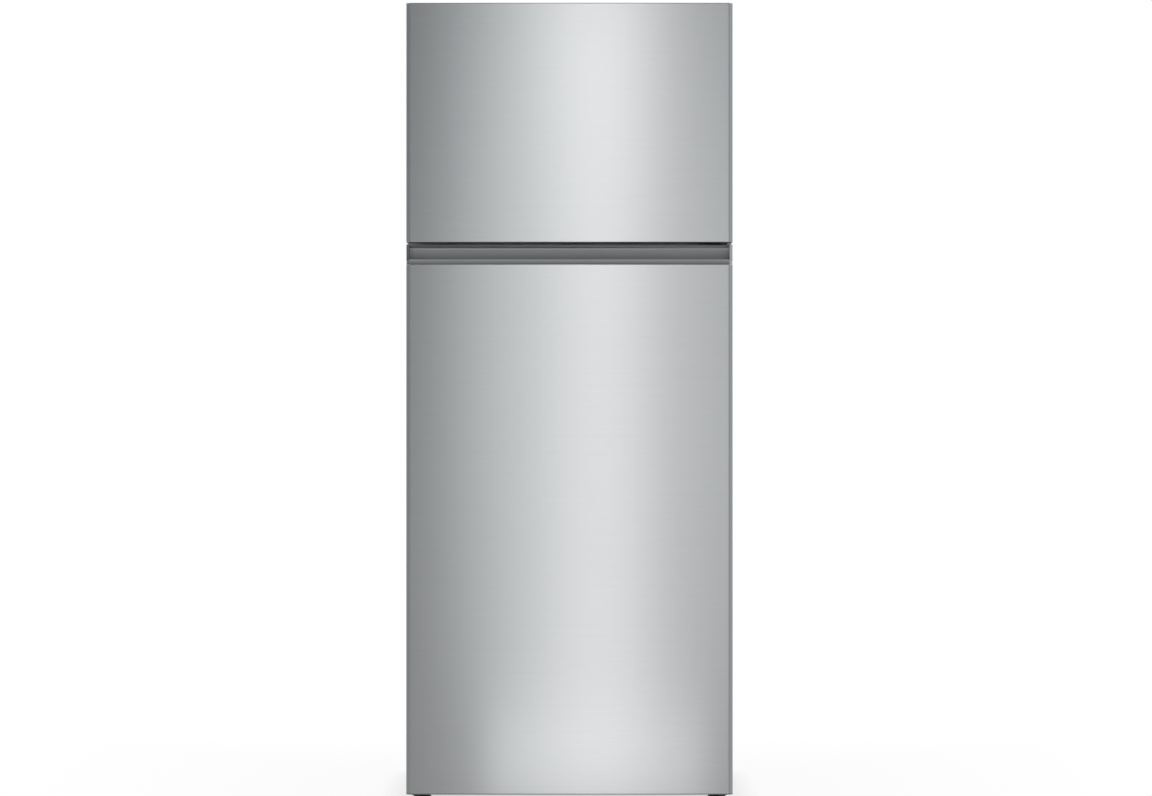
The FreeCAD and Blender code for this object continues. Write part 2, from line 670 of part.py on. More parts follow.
def freezer_door_caps():
    """The plastic top and bottom of the freezer door, with the finger groove in the bottom one."""
    low, high = FREEZER_DOOR_BOTTOM, TOP
    top = inside_skin(low, high, high - TOP_CAP_HEIGHT, high).cut(liner_plate(low, high + 1))
    top = joined([top.cut(cap_pocket(high - TOP_CAP_HEIGHT - 1, high - CAP_WALL)),
                  rod(HINGE_X, HINGE_Y, CABINET_TOP - PIN_LENGTH - 6, 10.0, PIN_LENGTH, (0, 0, 1))])
    top = without(top, [hinge_notch(), pin_hole(CABINET_TOP - PIN_LENGTH - 2, TOP)])
    bottom = inside_skin(low, high, low, low + CAP_HEIGHT).cut(liner_plate(low - 1, high))
    groove_front = FRONT + SHEET + PULL_GROOVE_WALL
    groove_end = HINGE_X - HINGE_NOTCH_LEFT - CAP_WALL
    groove = box(-groove_end, groove_end, groove_front, groove_front + PULL_GROOVE_WIDTH,
                 low - 1, low + PULL_GROOVE_DEPTH)
    groove = rounded(groove, 5.0, (1, 0, 0), lambda p: p.z > low)
    bottom = without(bottom, [cap_pocket(low + PULL_GROOVE_DEPTH + CAP_WALL, low + CAP_HEIGHT + 1),
                              groove, pin_hole(low - 1, low + PIN_LENGTH + 1)])
    return top, bottom


def freezer_door_liner():
    return door_liner(FREEZER_DOOR_BOTTOM, TOP, *DIKE_FREEZER, FREEZER_BIN_LEVELS).cut(hinge_notch())


def freezer_door_foam():
    block = inside_skin(FREEZER_DOOR_BOTTOM, TOP, FREEZER_DOOR_BOTTOM + PULL_GROOVE_DEPTH, TOP - CAP_WALL)
    return door_foam(block, *DIKE_FREEZER,
                     [*freezer_door_caps(), hinge_notch(),
                      pin_hole(FREEZER_DOOR_BOTTOM, FREEZER_DOOR_BOTTOM + PIN_LENGTH + 1),
                      pin_hole(CABINET_TOP - PIN_LENGTH - 2, TOP)])


def freezer_door_seal():
    return door_seal(FREEZER_DOOR_BOTTOM + SEAL_INSET, CABINET_TOP - SEAL_INSET)


def door_bin(level, height, depth):
    """An open bin that hangs between the rims of a door."""
    near = DOOR_BACK + BIN_CLEARANCE
    tray = open_box(-BIN_HALF, BIN_HALF, near, DOOR_BACK + depth, level, level + height, BIN_WALL, BIN_RADIUS)
    back = DOOR_BACK + depth
    bead = box(-BIN_HALF + BIN_RADIUS, BIN_HALF - BIN_RADIUS, back, back + BIN_LIP,
               level + height - 2 * BIN_LIP, level + height)
    return joined([tray, rounded(bead, 1.2, (1, 0, 0), lambda p: p.y > back + 1)])


def freezer_door_bins():
    return [door_bin(level, SMALL_BIN_HEIGHT, FREEZER_BIN_DEPTH) for level in FREEZER_BIN_LEVELS]


def fridge_door_skin():
    return door_skin(DOOR_BOTTOM, SKIN_TOP)


def handle_profile():
    """The recessed handle seen from the side: lip, finger pocket, hollow scoop, step and upright."""
    front = FRONT + SHEET
    lip = SKIN_TOP + LIP_HEIGHT
    pocket = front + LIP_THICKNESS
    wall = pocket + POCKET_WIDTH
    floor = lip - POCKET_DEPTH
    edge_y = FRONT + SCOOP_FRONT
    edge_z = SKIN_TOP + SCOOP_RISE
    riser = FRONT + RISER_DEPTH
    back = DOOR_BACK - LINER

    def at(y, z):
        return Vector(0, y, z)

    def arc(a, b, c):
        return Part.Arc(at(*a), at(*b), at(*c)).toShape()

    def line(a, b):
        return Part.LineSegment(at(*a), at(*b)).toShape()

    turn = 0.2929
    r = 2.6
    q = 6.0
    e = SCOOP_EDGE
    middle = (wall - 0.30 * (wall - edge_y), floor + q + 0.58 * (edge_z - floor - q))
    edges = [
        line((front, SKIN_TOP - HANDLE_PLUG), (front, lip - r)),
        arc((front, lip - r), (front + r * turn, lip - r * turn), (front + r, lip)),
        line((front + r, lip), (pocket - r, lip)),
        arc((pocket - r, lip), (pocket - r * turn, lip - r * turn), (pocket, lip - r)),
        line((pocket, lip - r), (pocket, floor + q)),
        arc((pocket, floor + q), (pocket + q * turn, floor + q * turn), (pocket + q, floor)),
        line((pocket + q, floor), (wall - q, floor)),
        arc((wall - q, floor), (wall - q * turn, floor + q * turn), (wall, floor + q)),
        arc((wall, floor + q), middle, (edge_y, edge_z - e)),
        arc((edge_y, edge_z - e), (edge_y + e * turn, edge_z - e * turn), (edge_y + e, edge_z)),
        line((edge_y + e, edge_z), (riser, edge_z)),
        line((riser, edge_z), (riser, FRIDGE_DOOR_TOP)),
        line((riser, FRIDGE_DOOR_TOP), (back, FRIDGE_DOOR_TOP)),
        line((back, FRIDGE_DOOR_TOP), (back, SKIN_TOP - HANDLE_PLUG)),
        line((back, SKIN_TOP - HANDLE_PLUG), (front, SKIN_TOP - HANDLE_PLUG)),
    ]
    return Part.Face(Part.Wire(edges))


def handle_trim():
    """The dark moulding on top of the fridge door: recessed handle, cap and hinge bush in one."""
    face = handle_profile()
    half = SIDE - END_CAP_WIDTH
    face.translate(Vector(-half, 0, 0))
    middle = face.extrude(Vector(2 * half, 0, 0))
    ends = door_block(SHEET, SKIN_TOP - HANDLE_PLUG, SKIN_TOP + END_CAP_BASE)
    ends = without(ends, [box(-half, half, FRONT, DOOR_BACK, DOOR_BOTTOM, TOP), liner_plate(0, TOP)])
    seat = rod(HINGE_X, HINGE_Y, FRIDGE_DOOR_TOP - PIN_LENGTH - 12, 10.0, PIN_LENGTH, (0, 0, 1))
    whole = joined([middle, *ends.Solids, seat.common(middle)])
    return without(whole, [fridge_door_skin(), pin_hole(FRIDGE_DOOR_TOP - PIN_LENGTH - 2, TOP)])


def handle_end_caps():
    """The pale plugs that close the two ends of the recessed handle."""
    half = SIDE - END_CAP_WIDTH
    block = door_block(SHEET / 2, SKIN_TOP + END_CAP_BASE, FRIDGE_DOOR_TOP)
    block = without(block, [box(-half, half, FRONT, DOOR_BACK, DOOR_BOTTOM, TOP), liner_plate(0, TOP)])
    return [rounded(s, 1.5, (0, 0, 1), lambda p: p.y < FRONT + FACET_DEPTH) for s in block.Solids]


def fridge_door_cap():
    """The plastic underside of the fridge door with its hinge bush."""
    low = DOOR_BOTTOM
    cap = inside_skin(low, SKIN_TOP, low, low + CAP_HEIGHT).cut(liner_plate(low - 1, TOP))
    return without(cap, [cap_pocket(low + CAP_WALL, low + CAP_HEIGHT + 1),
                         pin_hole(low - 1, low + PIN_LENGTH + 1)])


def fridge_door_liner():
    return door_liner(DOOR_BOTTOM, FRIDGE_DOOR_TOP, *DIKE_FRIDGE, FRIDGE_BIN_LEVELS)


def fridge_door_foam():
    block = inside_skin(DOOR_BOTTOM, SKIN_TOP, DOOR_BOTTOM + CAP_WALL, SKIN_TOP - HANDLE_PLUG)
    return door_foam(block, *DIKE_FRIDGE,
                     [fridge_door_cap(), pin_hole(DOOR_BOTTOM, DOOR_BOTTOM + PIN_LENGTH + 1)])


def fridge_door_seal():
    return door_seal(CABINET_BOTTOM + SEAL_INSET - LINER, FRIDGE_DOOR_TOP - SEAL_INSET)


def dairy_bin():
    """The top bin, with ears for its lid."""
    tray = door_bin(DAIRY_Z, DAIRY_BIN_HEIGHT, BIN_DEPTH)
    ears = both_sides(lambda s: box(min(s * BIN_HALF, s * (BIN_HALF - BIN_WALL)),
                                    max(s * BIN_HALF, s * (BIN_HALF - BIN_WALL)),
                                    DOOR_BACK + BIN_CLEARANCE, LID_Y + 9, DAIRY_Z + BIN_WALL, LID_Z + 7))
    hole = rod(-SIDE, LID_Y, LID_Z, LID_PIVOT + RUNNING, WIDTH, (1, 0, 0))
    return joined([tray] + ears).cut(hole)


def fridge_door_bins():
    bottle = door_bin(FRIDGE_BIN_LEVELS[0], BOTTLE_BIN_HEIGHT, BIN_DEPTH)
    small = [door_bin(level, SMALL_BIN_HEIGHT, BIN_DEPTH) for level in FRIDGE_BIN_LEVELS[1:3]]
    return [bottle] + small + [dairy_bin()]


def dairy_lid():
    """The clear flap over the top bin, turning on two pegs."""
    half = BIN_HALF - BIN_WALL - 1.0
    reach = DOOR_BACK + BIN_DEPTH + BIN_LIP + 1.0
    sheet = box(-half, half, LID_Y, reach, LID_Z - LID_THICKNESS / 2, LID_Z + LID_THICKNESS / 2)
    skirt = box(-half, half, reach, reach + LID_THICKNESS, LID_Z - LID_SKIRT, LID_Z + LID_THICKNESS / 2)
    roll = rod(-half, LID_Y, LID_Z, LID_PIVOT + 1.0, 2 * half, (1, 0, 0))
    pegs = rod(-BIN_HALF + 1, LID_Y, LID_Z, LID_PIVOT, 2 * BIN_HALF - 2, (1, 0, 0))
    lid = joined([sheet, skirt, roll, pegs])
    return rounded(lid, 2.0, (1, 0, 0), lambda p: p.y > reach + LID_THICKNESS - 0.1 and p.z > LID_Z)


# ---------------------------------------------------------------- hinges, feet and rollers
def arm_plan(back, z0):
    """A hinge arm: a rounded end round the pin and a straight strip to the cabinet."""
    strip = box(HINGE_X - ARM_HALF_WIDTH, HINGE_X + ARM_HALF_WIDTH, HINGE_Y, back, z0, z0 + ARM_THICKNESS)
    return strip.fuse(rod(HINGE_X, HINGE_Y, z0, ARM_HALF_WIDTH, ARM_THICKNESS, (0, 0, 1)))


def hinge_pin(z0, z1):
    return rod(HINGE_X, HINGE_Y, z0, PIN_RADIUS, z1 - z0, (0, 0, 1))


def screw(x, y, z, way):
    """A pan head screw whose head rests on the point and whose shank runs the other way."""
    way = Vector(*way)
    here = Vector(x, y, z)
    head = Part.makeCylinder(SCREW_HEAD, SCREW_HEAD_HEIGHT, here, way)
    head = head.makeFillet(1.2, [e for e in head.Edges if abs((e.CenterOfMass - here).dot(way)) > 1])
    shank = Part.makeCylinder(SCREW_RADIUS, SCREW_LENGTH, here, way * -1)
    return joined([head, shank])


TOP_SCREWS = [(HINGE_X - dx, CABINET_FRONT + dy) for dx, dy in ((2.0, 22.0), (34.0, 22.0), (34.0, 52.0))]
MIDDLE_SCREWS = [(HINGE_X - dx, SPLIT) for dx in (26.0, 44.0)]
MIDDLE_SCREW_RISE = 9.0


def hinge_screws():
    """The screws of the top, middle and bottom hinges and of the left foot bracket."""
    top = [screw(x, y, CABINET_TOP + ARM_THICKNESS, (0, 0, 1)) for x, y in TOP_SCREWS]
    middle = [screw(x, CABINET_FRONT - MIDDLE_FLANGE, z - MIDDLE_SCREW_RISE, (0, -1, 0)) for x, z in MIDDLE_SCREWS]
    low = []
    for side in (-1, 1):
        for y in (FOOT_Y + 34.0, FOOT_Y + 52.0):
            low.append(screw(side * BRACKET_X, y, CABINET_BOTTOM - ARM_THICKNESS, (0, 0, -1)))
    return top + middle + low


def top_hinge():
    """The arm and pin over the freezer door."""
    level = CABINET_TOP
    foot = box(HINGE_X - 46, HINGE_X + ARM_HALF_WIDTH, CABINET_FRONT + 8, CABINET_FRONT + 66,
               level, level + ARM_THICKNESS)
    arm = arm_plan(CABINET_FRONT + 20, level)
    pin = hinge_pin(level - PIN_LENGTH, level)
    head = rod(HINGE_X, HINGE_Y, level, 6.0, ARM_THICKNESS + 1.5, (0, 0, 1))
    return without(joined([foot, arm, pin, head]), hinge_screws())


def hinge_cover():
    """The plastic cover over the fixed end of the top hinge."""
    x0, x1 = HINGE_X - 54, HINGE_X + 16
    y0, y1 = CABINET_FRONT + 3, CABINET_FRONT + 76
    z0, z1 = CABINET_TOP, CABINET_TOP + HINGE_COVER_HEIGHT
    shell = rounded(box(x0, x1, y0, y1, z0, z1), 8.0, (0, 0, 1))
    shell = shell.makeFillet(3.0, [e for e in shell.Edges if e.BoundBox.ZMin > z1 - 1e-3])
    room = rounded(box(x0 + 2, x1 - 2, y0 + 2, y1 - 2, z0 - 1, z1 - 2), 6.0, (0, 0, 1))
    slot = box(HINGE_X - ARM_HALF_WIDTH - 0.5, HINGE_X + ARM_HALF_WIDTH + 0.5, y0 - 1, y0 + 3,
               z0 - 1, z0 + ARM_THICKNESS + 0.5)
    return without(shell, [room, slot])


def middle_hinge():
    """The plate between the doors with a pin up and a pin down, on a flange against the mullion."""
    level = SPLIT - ARM_THICKNESS / 2
    arm = arm_plan(CABINET_FRONT, level)
    flange = box(HINGE_X - 54, HINGE_X + ARM_HALF_WIDTH, CABINET_FRONT - MIDDLE_FLANGE, CABINET_FRONT,
                 SPLIT - MIDDLE_FLANGE_HEIGHT / 2, SPLIT + MIDDLE_FLANGE_HEIGHT / 2)
    web = box(HINGE_X - 54, HINGE_X - ARM_HALF_WIDTH, DOOR_BACK + 1, CABINET_FRONT, level, level + ARM_THICKNESS)
    reach = ARM_THICKNESS / 2 + HINGE_CLEARANCE
    pins = hinge_pin(SPLIT - reach - PIN_LENGTH + 2, SPLIT + reach + PIN_LENGTH - 2)
    return without(joined([arm, flange, web, pins]), hinge_screws())


def bracket(side):
    """A folded bracket under a front corner with a welded nut for the foot."""
    x0, x1 = side * BRACKET_X - BRACKET_WIDTH / 2, side * BRACKET_X + BRACKET_WIDTH / 2
    low = DOOR_BOTTOM - HINGE_CLEARANCE - ARM_THICKNESS
    y0 = HINGE_Y - 12
    y1 = FOOT_Y + FOOT_RADIUS + 44
    plate = rounded(box(x0, x1, y0, y1, low, low + ARM_THICKNESS), 8.0, (0, 0, 1), lambda p: p.y < y0 + 1)
    cheeks = both_sides(lambda s: box(min(side * BRACKET_X + s * BRACKET_WIDTH / 2,
                                          side * BRACKET_X + s * (BRACKET_WIDTH / 2 - ARM_THICKNESS)),
                                      max(side * BRACKET_X + s * BRACKET_WIDTH / 2,
                                          side * BRACKET_X + s * (BRACKET_WIDTH / 2 - ARM_THICKNESS)),
                                      CABINET_FRONT + 4, y1, low, CABINET_BOTTOM))
    roof = box(x0, x1, CABINET_FRONT + 4, y1, CABINET_BOTTOM - ARM_THICKNESS, CABINET_BOTTOM)
    nut = rod(side * BRACKET_X, FOOT_Y, low, NUT_RADIUS, ARM_THICKNESS + NUT_HEIGHT, (0, 0, 1))
    hole = rod(side * BRACKET_X, FOOT_Y, low - 1, STUD_RADIUS + RUNNING, 30, (0, 0, 1))
    access = box(x0 + 8, x1 - 8, FOOT_Y + 26, y1 - 4, low - 1, low + ARM_THICKNESS + 1)
    hole = hole.common(box(x0, x1, y0, y1, low - 1, low + ARM_THICKNESS + NUT_HEIGHT + 1))
    return without(joined([plate, *cheeks, roof, nut]), [hole, access] + hinge_screws())


def bottom_hinge():
    """The right bracket with the pin that carries the fridge door."""
    low = DOOR_BOTTOM - HINGE_CLEARANCE
    pin = hinge_pin(low - ARM_THICKNESS, low + PIN_LENGTH)
    collar = rod(HINGE_X, HINGE_Y, low - ARM_THICKNESS, 7.0, ARM_THICKNESS + HINGE_CLEARANCE - RUNNING, (0, 0, 1))
    return joined([bracket(1), pin, collar])


def roller_bracket(side):
    """Two cheeks under the rear corner and the axle between them."""
    x = side * (SIDE - ROLLER_INSET)
    y = BACK - ROLLER_SETBACK
    half = ROLLER_WIDTH / 2 + 1.0
    cheeks = both_sides(lambda s: box(min(x + s * half, x + s * (half + ARM_THICKNESS)),
                                      max(x + s * half, x + s * (half + ARM_THICKNESS)),
                                      y - 22, y + 20, ROLLER_RADIUS - 9, CABINET_BOTTOM))
    cheeks = [rounded(c, 8.0, (1, 0, 0), lambda p: p.z < ROLLER_RADIUS) for c in cheeks]
    axle = rod(x - half - ARM_THICKNESS, y, ROLLER_RADIUS, AXLE_RADIUS, 2 * (half + ARM_THICKNESS), (1, 0, 0))
    return joined([*cheeks, axle])


def base_brackets():
    """The left foot bracket and both rear roller brackets."""
    return [bracket(-1), roller_bracket(-1), roller_bracket(1)]


def levelling_foot(side):
    """A screw-in foot: ribbed pad and stud."""
    x, y = side * BRACKET_X, FOOT_Y
    pad = rod(x, y, 0, FOOT_RADIUS, FOOT_HEIGHT, (0, 0, 1))
    pad = pad.makeFillet(2.0, [e for e in pad.Edges if len(e.Vertexes) == 1 and e.CenterOfMass.z > 1])
    grips = []
    for n in range(12):
        turn = math.radians(30 * n)
        grips.append(rod(x + (FOOT_RADIUS + 0.6) * math.cos(turn), y + (FOOT_RADIUS + 0.6) * math.sin(turn),
                         2, 2.0, FOOT_HEIGHT, (0, 0, 1)))
    stud = rod(x, y, FOOT_HEIGHT, STUD_RADIUS, CABINET_BOTTOM - ARM_THICKNESS - 0.5 - FOOT_HEIGHT, (0, 0, 1))
    return joined([without(pad, grips), stud])


def rear_roller(side):
    """A plastic roller with a grooved tread."""
    x = side * (SIDE - ROLLER_INSET) - ROLLER_WIDTH / 2
    y = BACK - ROLLER_SETBACK
    wheel = rod(x, y, ROLLER_RADIUS, ROLLER_RADIUS, ROLLER_WIDTH, (1, 0, 0))
    wheel = wheel.makeFillet(2.0, [e for e in wheel.Edges if len(e.Vertexes) == 1])
    cheeks = [rod(start, y, ROLLER_RADIUS, ROLLER_RADIUS - 5, 4, (1, 0, 0))
              for start in (x - 1, x + ROLLER_WIDTH - 3)]
    hub = rod(x, y, ROLLER_RADIUS, AXLE_RADIUS + 4, ROLLER_WIDTH, (1, 0, 0))
    bore = rod(x - 1, y, ROLLER_RADIUS, AXLE_RADIUS + RUNNING, ROLLER_WIDTH + 2, (1, 0, 0))
    return joined([without(wheel, cheeks), hub]).cut(bore)


# ---------------------------------------------------------------- inside the fridge
def shelf(level):
    """A toughened glass shelf."""
    half = INNER - SLIDE_CLEARANCE * 2
    plate = box(-half, half, SHELF_Y + 2, SHELF_END, level, level + GLASS)
    return rounded(plate, 6.0, (0, 0, 1), lambda p: p.y > SHELF_END - 1)


def shelf_trims():
    """The front rail of each glass shelf."""
    trims = []
    half = INNER - SLIDE_CLEARANCE * 2
    for level in SHELF_LEVELS:
        rail = box(-half, half, SHELF_Y - TRIM_DEPTH + 8, SHELF_Y + 8, level - 5, level + TRIM_HEIGHT - 5)
        rail = rounded(rail, 3.0, (1, 0, 0), lambda p: p.y < SHELF_Y)
        groove = box(-half - 1, half + 1, SHELF_Y + 2, SHELF_Y + 9, level, level + GLASS)
        ribs = ledge(level, SHELF_END)
        trims.append(without(rail, [groove] + ribs))
    return trims


def crisper_cover():
    """The glass lid over the two drawers in its white frame, with the humidity slot."""
    half = INNER - SLIDE_CLEARANCE * 2
    y0, y1 = CRISPER_Y - 6, STEP_Y - SLIDE_CLEARANCE
    z0, z1 = STEP_Z - CRISPER_COVER_HEIGHT, STEP_Z
    frame = rounded(box(-half, half, y0, y1, z0, z1), 3.0, (1, 0, 0), lambda p: p.y < y0 + 1)
    under = box(-half + 22, half - 22, y0 + 22, y1 - 16, z0 - 1, z1 - GLASS - 2)
    recess = box(-half + 16, half - 16, y0 + 16, y1 - 10, z1 - GLASS, z1 + 1)
    slot = box(-HUMIDITY_SLOT_LENGTH / 2, HUMIDITY_SLOT_LENGTH / 2, y0 - 1, y0 + 10,
               HUMIDITY_Z - HUMIDITY_SLOT_HEIGHT / 2, HUMIDITY_Z + HUMIDITY_SLOT_HEIGHT / 2)
    frame = without(frame, [under, recess, slot])
    glass = box(-half + 16.3, half - 16.3, y0 + 16.3, y1 - 10.3, z1 - GLASS, z1)
    return frame, glass


def humidity_slider():
    """The small grip that opens and closes the drawer vents."""
    y0 = CRISPER_Y - 6
    tongue = box(-HUMIDITY_KNOB / 2 + 2, HUMIDITY_KNOB / 2 - 2, y0 - 0.5, y0 + 9,
                 HUMIDITY_Z - HUMIDITY_SLOT_HEIGHT / 2 + SLIDE_CLEARANCE,
                 HUMIDITY_Z + HUMIDITY_SLOT_HEIGHT / 2 - SLIDE_CLEARANCE)
    grip = box(-HUMIDITY_KNOB / 2, HUMIDITY_KNOB / 2, y0 - 6, y0 - 0.5, HUMIDITY_Z - 5, HUMIDITY_Z + 5)
    return joined([tongue, rounded(grip, 1.5, (0, 0, 1), lambda p: p.y < y0 - 1)])


def drawer(x0, x1, y0, y1, z0, z1, wall):
    """An open drawer with a thick face and a grip rolled over its top edge."""
    tray = open_box(x0, x1, y0, y1, z0, z1, wall, 8.0)
    face = box(x0, x1, y0 - 4, y0 + 9, z0, z1)
    face = rounded(face, 3.0, (0, 0, 1), lambda p: p.y < y0)
    room = box(x0 + wall, x1 - wall, y0 + wall, y0 + 12, z0 + wall, z1 + 1)
    middle = (x0 + x1) / 2
    grip = box(middle - 50, middle + 50, y0 - 4 - DRAWER_GRIP, y0 - 4, z1 - 6, z1)
    hook = box(middle - 50, middle + 50, y0 - 4 - DRAWER_GRIP, y0 - DRAWER_GRIP - 1, z1 - 18, z1)
    grip = rounded(joined([grip, hook]), 2.0, (1, 0, 0), lambda p: p.y < y0 - DRAWER_GRIP - 3)
    return joined([tray, without(face, [room]), grip])


def crisper(side):
    """A vegetable drawer, left or right of the middle."""
    near, far = CRISPER_GAP / 2, INNER - LINER_CORNER_RADIUS - 1.0
    x0, x1 = (near, far) if side > 0 else (-far, -near)
    return drawer(x0, x1, CRISPER_Y, CRISPER_BACK, FRIDGE_FLOOR + SLIDE_CLEARANCE, CRISPER_TOP, CRISPER_WALL)


def air_duct_cover():
    """The upright duct on the back wall with its outlets."""
    z0, z1 = STEP_Z + 20, FRIDGE_CEILING
    half = DUCT_WIDTH / 2
    y0 = FRIDGE_BACK - DUCT_DEPTH
    shell = rounded(box(-half, half, y0, FRIDGE_BACK, z0, z1), 8.0, (0, 0, 1), lambda p: p.y < y0 + 1)
    room = box(-half + DUCT_WALL, half - DUCT_WALL, y0 + DUCT_WALL, FRIDGE_BACK + 1, z0 + DUCT_WALL, z1 + 1)
    slots = []
    for level in SHELF_LEVELS + [STEP_Z + 40]:
        for n in range(3):
            z = level + 40 + 12 * n
            for x in (-1, 1):
                slots.append(box(min(x * 14, x * 64), max(x * 14, x * 64), y0 - 1, y0 + DUCT_WALL + 1, z, z + 5))
    return without(shell, [room] + slots)


def control_housing():
    """The control box under the fridge ceiling."""
    half = CONTROL_WIDTH / 2
    y0, y1 = CONTROL_Y, CONTROL_Y + CONTROL_DEPTH
    shell = rounded(box(-half, half, y0, y1, CONTROL_Z, FRIDGE_CEILING), 6.0, (0, 0, 1), lambda p: p.y < y0 + 1)
    room = box(-half + 2.5, half - 2.5, y0 + 3, y1 - 2.5, CONTROL_Z + 2.5, FRIDGE_CEILING + 1)
    hole = rod(0, y0 - 1, KNOB_Z, KNOB_SHAFT + RUNNING, 6, (0, 1, 0))
    return without(shell, [room, hole])


def temperature_knob():
    """The dial that sets the temperature, with a pointer rib and its shaft."""
    y = CONTROL_Y - 0.5
    dial = rod(0, y - 3, KNOB_Z, KNOB_RADIUS, 3, (0, 1, 0))
    grip = rod(0, y - KNOB_DEPTH, KNOB_Z, KNOB_RADIUS - 3, KNOB_DEPTH, (0, 1, 0))
    grip = grip.makeFillet(1.2, [e for e in grip.Edges if len(e.Vertexes) == 1 and e.CenterOfMass.y < y - 5])
    pointer = box(-1.2, 1.2, y - KNOB_DEPTH - 1, y - KNOB_DEPTH + 2, KNOB_Z, KNOB_Z + KNOB_RADIUS - 4)
    shaft = rod(0, y - 1, KNOB_Z, KNOB_SHAFT, 9, (0, 1, 0))
    return joined([dial, grip, pointer, shaft])


def lamp_lens():
    """The frosted cover of the light in the ceiling."""
    y0 = CONTROL_Y + CONTROL_DEPTH + 30
    lens = box(-LAMP_WIDTH / 2, LAMP_WIDTH / 2, y0, y0 + LAMP_DEPTH, FRIDGE_CEILING - LAMP_HEIGHT, FRIDGE_CEILING)
    lens = rounded(lens, 8.0, (0, 0, 1))
    return lens.makeFillet(3.0, [e for e in lens.Edges if e.BoundBox.ZMax < FRIDGE_CEILING - LAMP_HEIGHT + 1e-3])


# ---------------------------------------------------------------- inside the freezer
def evaporator_cover():
    """The panel in front of the evaporator: fan ring, return slots and slider slot."""
    y0, y1 = COVER_Y, COVER_Y + COVER_SHEET
    panel = freezer_room(0).common(box(-INNER, INNER, y0, y1, FREEZER_FLOOR, FREEZER_CEILING))
    ring = Part.makeCylinder(FAN_RADIUS + 10, 6, Vector(0, y0 - 6, FAN_Z), Vector(0, 1, 0))
    ring = ring.makeFillet(3.0, [e for e in ring.Edges if len(e.Vertexes) == 1 and e.CenterOfMass.y < y0 - 3])
    holes = []
    for n in range(9):
        half = math.sqrt(max(FAN_RADIUS ** 2 - (12.0 * (n - 4)) ** 2, 0))
        z = FAN_Z + 12.0 * (n - 4)
        holes.append(box(-half, half, y0 - 7, y1 + 1, z - 4, z + 4))
    for n in range(9):
        x = -200 + 50 * n
        holes.append(box(x - 18, x + 18, y0 - 1, y1 + 1, FREEZER_FLOOR + 14, FREEZER_FLOOR + 20))
    bezel = box(-SLIDER_SLOT / 2 - 12, SLIDER_SLOT / 2 + 12, y0 - 5, y0, SLIDER_Z - 14, SLIDER_Z + 14)
    bezel = rounded(bezel, 4.0, (0, 1, 0))
    slot = box(-SLIDER_SLOT / 2, SLIDER_SLOT / 2, y0 - 7, y1 + 1, SLIDER_Z - 3, SLIDER_Z + 3)
    return without(joined([panel, ring, bezel]), holes + [slot])


def airflow_slider():
    """The grip that sets how much cold air goes down to the fridge."""
    y0 = COVER_Y - 5
    tongue = box(-SLIDER_KNOB / 2 + 3, SLIDER_KNOB / 2 - 3, y0 - 0.5, y0 + 12,
                 SLIDER_Z - 3 + SLIDE_CLEARANCE, SLIDER_Z + 3 - SLIDE_CLEARANCE)
    grip = box(-SLIDER_KNOB / 2, SLIDER_KNOB / 2, y0 - 9, y0 - 0.5, SLIDER_Z - 7, SLIDER_Z + 7)
    return joined([tongue, rounded(grip, 2.0, (0, 0, 1), lambda p: p.y < y0 - 1)])


def evaporator():
    """The finned coil: aluminium fins on two tube rows, end bends and the end plates that hold it to the wall."""
    half = INNER - 70
    y0, y1 = COVER_Y + COVER_SHEET + 8, FREEZER_BACK - 8
    z0 = FREEZER_FLOOR + 46
    rows = [y0 + 10, y1 - 10]
    levels = [z0 + 12 + 30 * n for n in range(4)]
    z1 = levels[-1] + 12
    tubes = [rod(-half - 12, y, z, 4.0, 2 * half + 24, (1, 0, 0)) for y in rows for z in levels]
    bends = [box(s * (half + 12) - 4, s * (half + 12) + 4, y - 4, y + 4, a - 4, b + 4)
             for y in rows for s, a, b in ((1, levels[0], levels[1]), (-1, levels[1], levels[2]),
                                           (1, levels[2], levels[3]))]
    ends = both_sides(lambda s: box(s * (half + 5) - 1, s * (half + 5) + 1, y0, FREEZER_BACK, z0, z1))
    fins = [box(x - FIN_THICKNESS / 2, x + FIN_THICKNESS / 2, y0, y1, z0, z1)
            for x in [-half + 2 * half * n / (FIN_COUNT - 1) for n in range(FIN_COUNT)]]
    link = box(-half - 16, -half - 8, rows[0] - 4, rows[1] + 4, levels[0] - 4, levels[0] + 4)
    return joined(tubes + bends + fins + ends + [link])


def defrost_heater():
    """The heater rod below the evaporator, on two end clips that stand on the drain floor."""
    half = INNER - 60
    y = COVER_Y + COVER_SHEET + EVAPORATOR_SPACE / 2
    z = FREEZER_FLOOR + 28
    clips = both_sides(lambda s: box(s * half - 3, s * half + 3, y - 8, y + 8, FREEZER_FLOOR, z + 8))
    return joined([rod(-half, y, z, 5.0, 2 * half, (1, 0, 0))] + clips)


def fan_motor():
    """The fan motor and the cross bracket that holds it to the back wall."""
    y0 = FAN_Y + FAN_DEPTH + 4
    can = rod(0, y0, FAN_Z, 20.0, 22, (0, 1, 0))
    shaft = rod(0, FAN_Y + 2, FAN_Z, FAN_SHAFT, y0 - FAN_Y, (0, 1, 0))
    strap = box(-70, 70, y0 + 14, y0 + 18, FAN_Z - 8, FAN_Z + 8)
    legs = both_sides(lambda s: box(s * 66 - 4, s * 66 + 4, y0 + 14, FREEZER_BACK, FAN_Z - 8, FAN_Z + 8))
    return joined([can, shaft, strap] + legs)


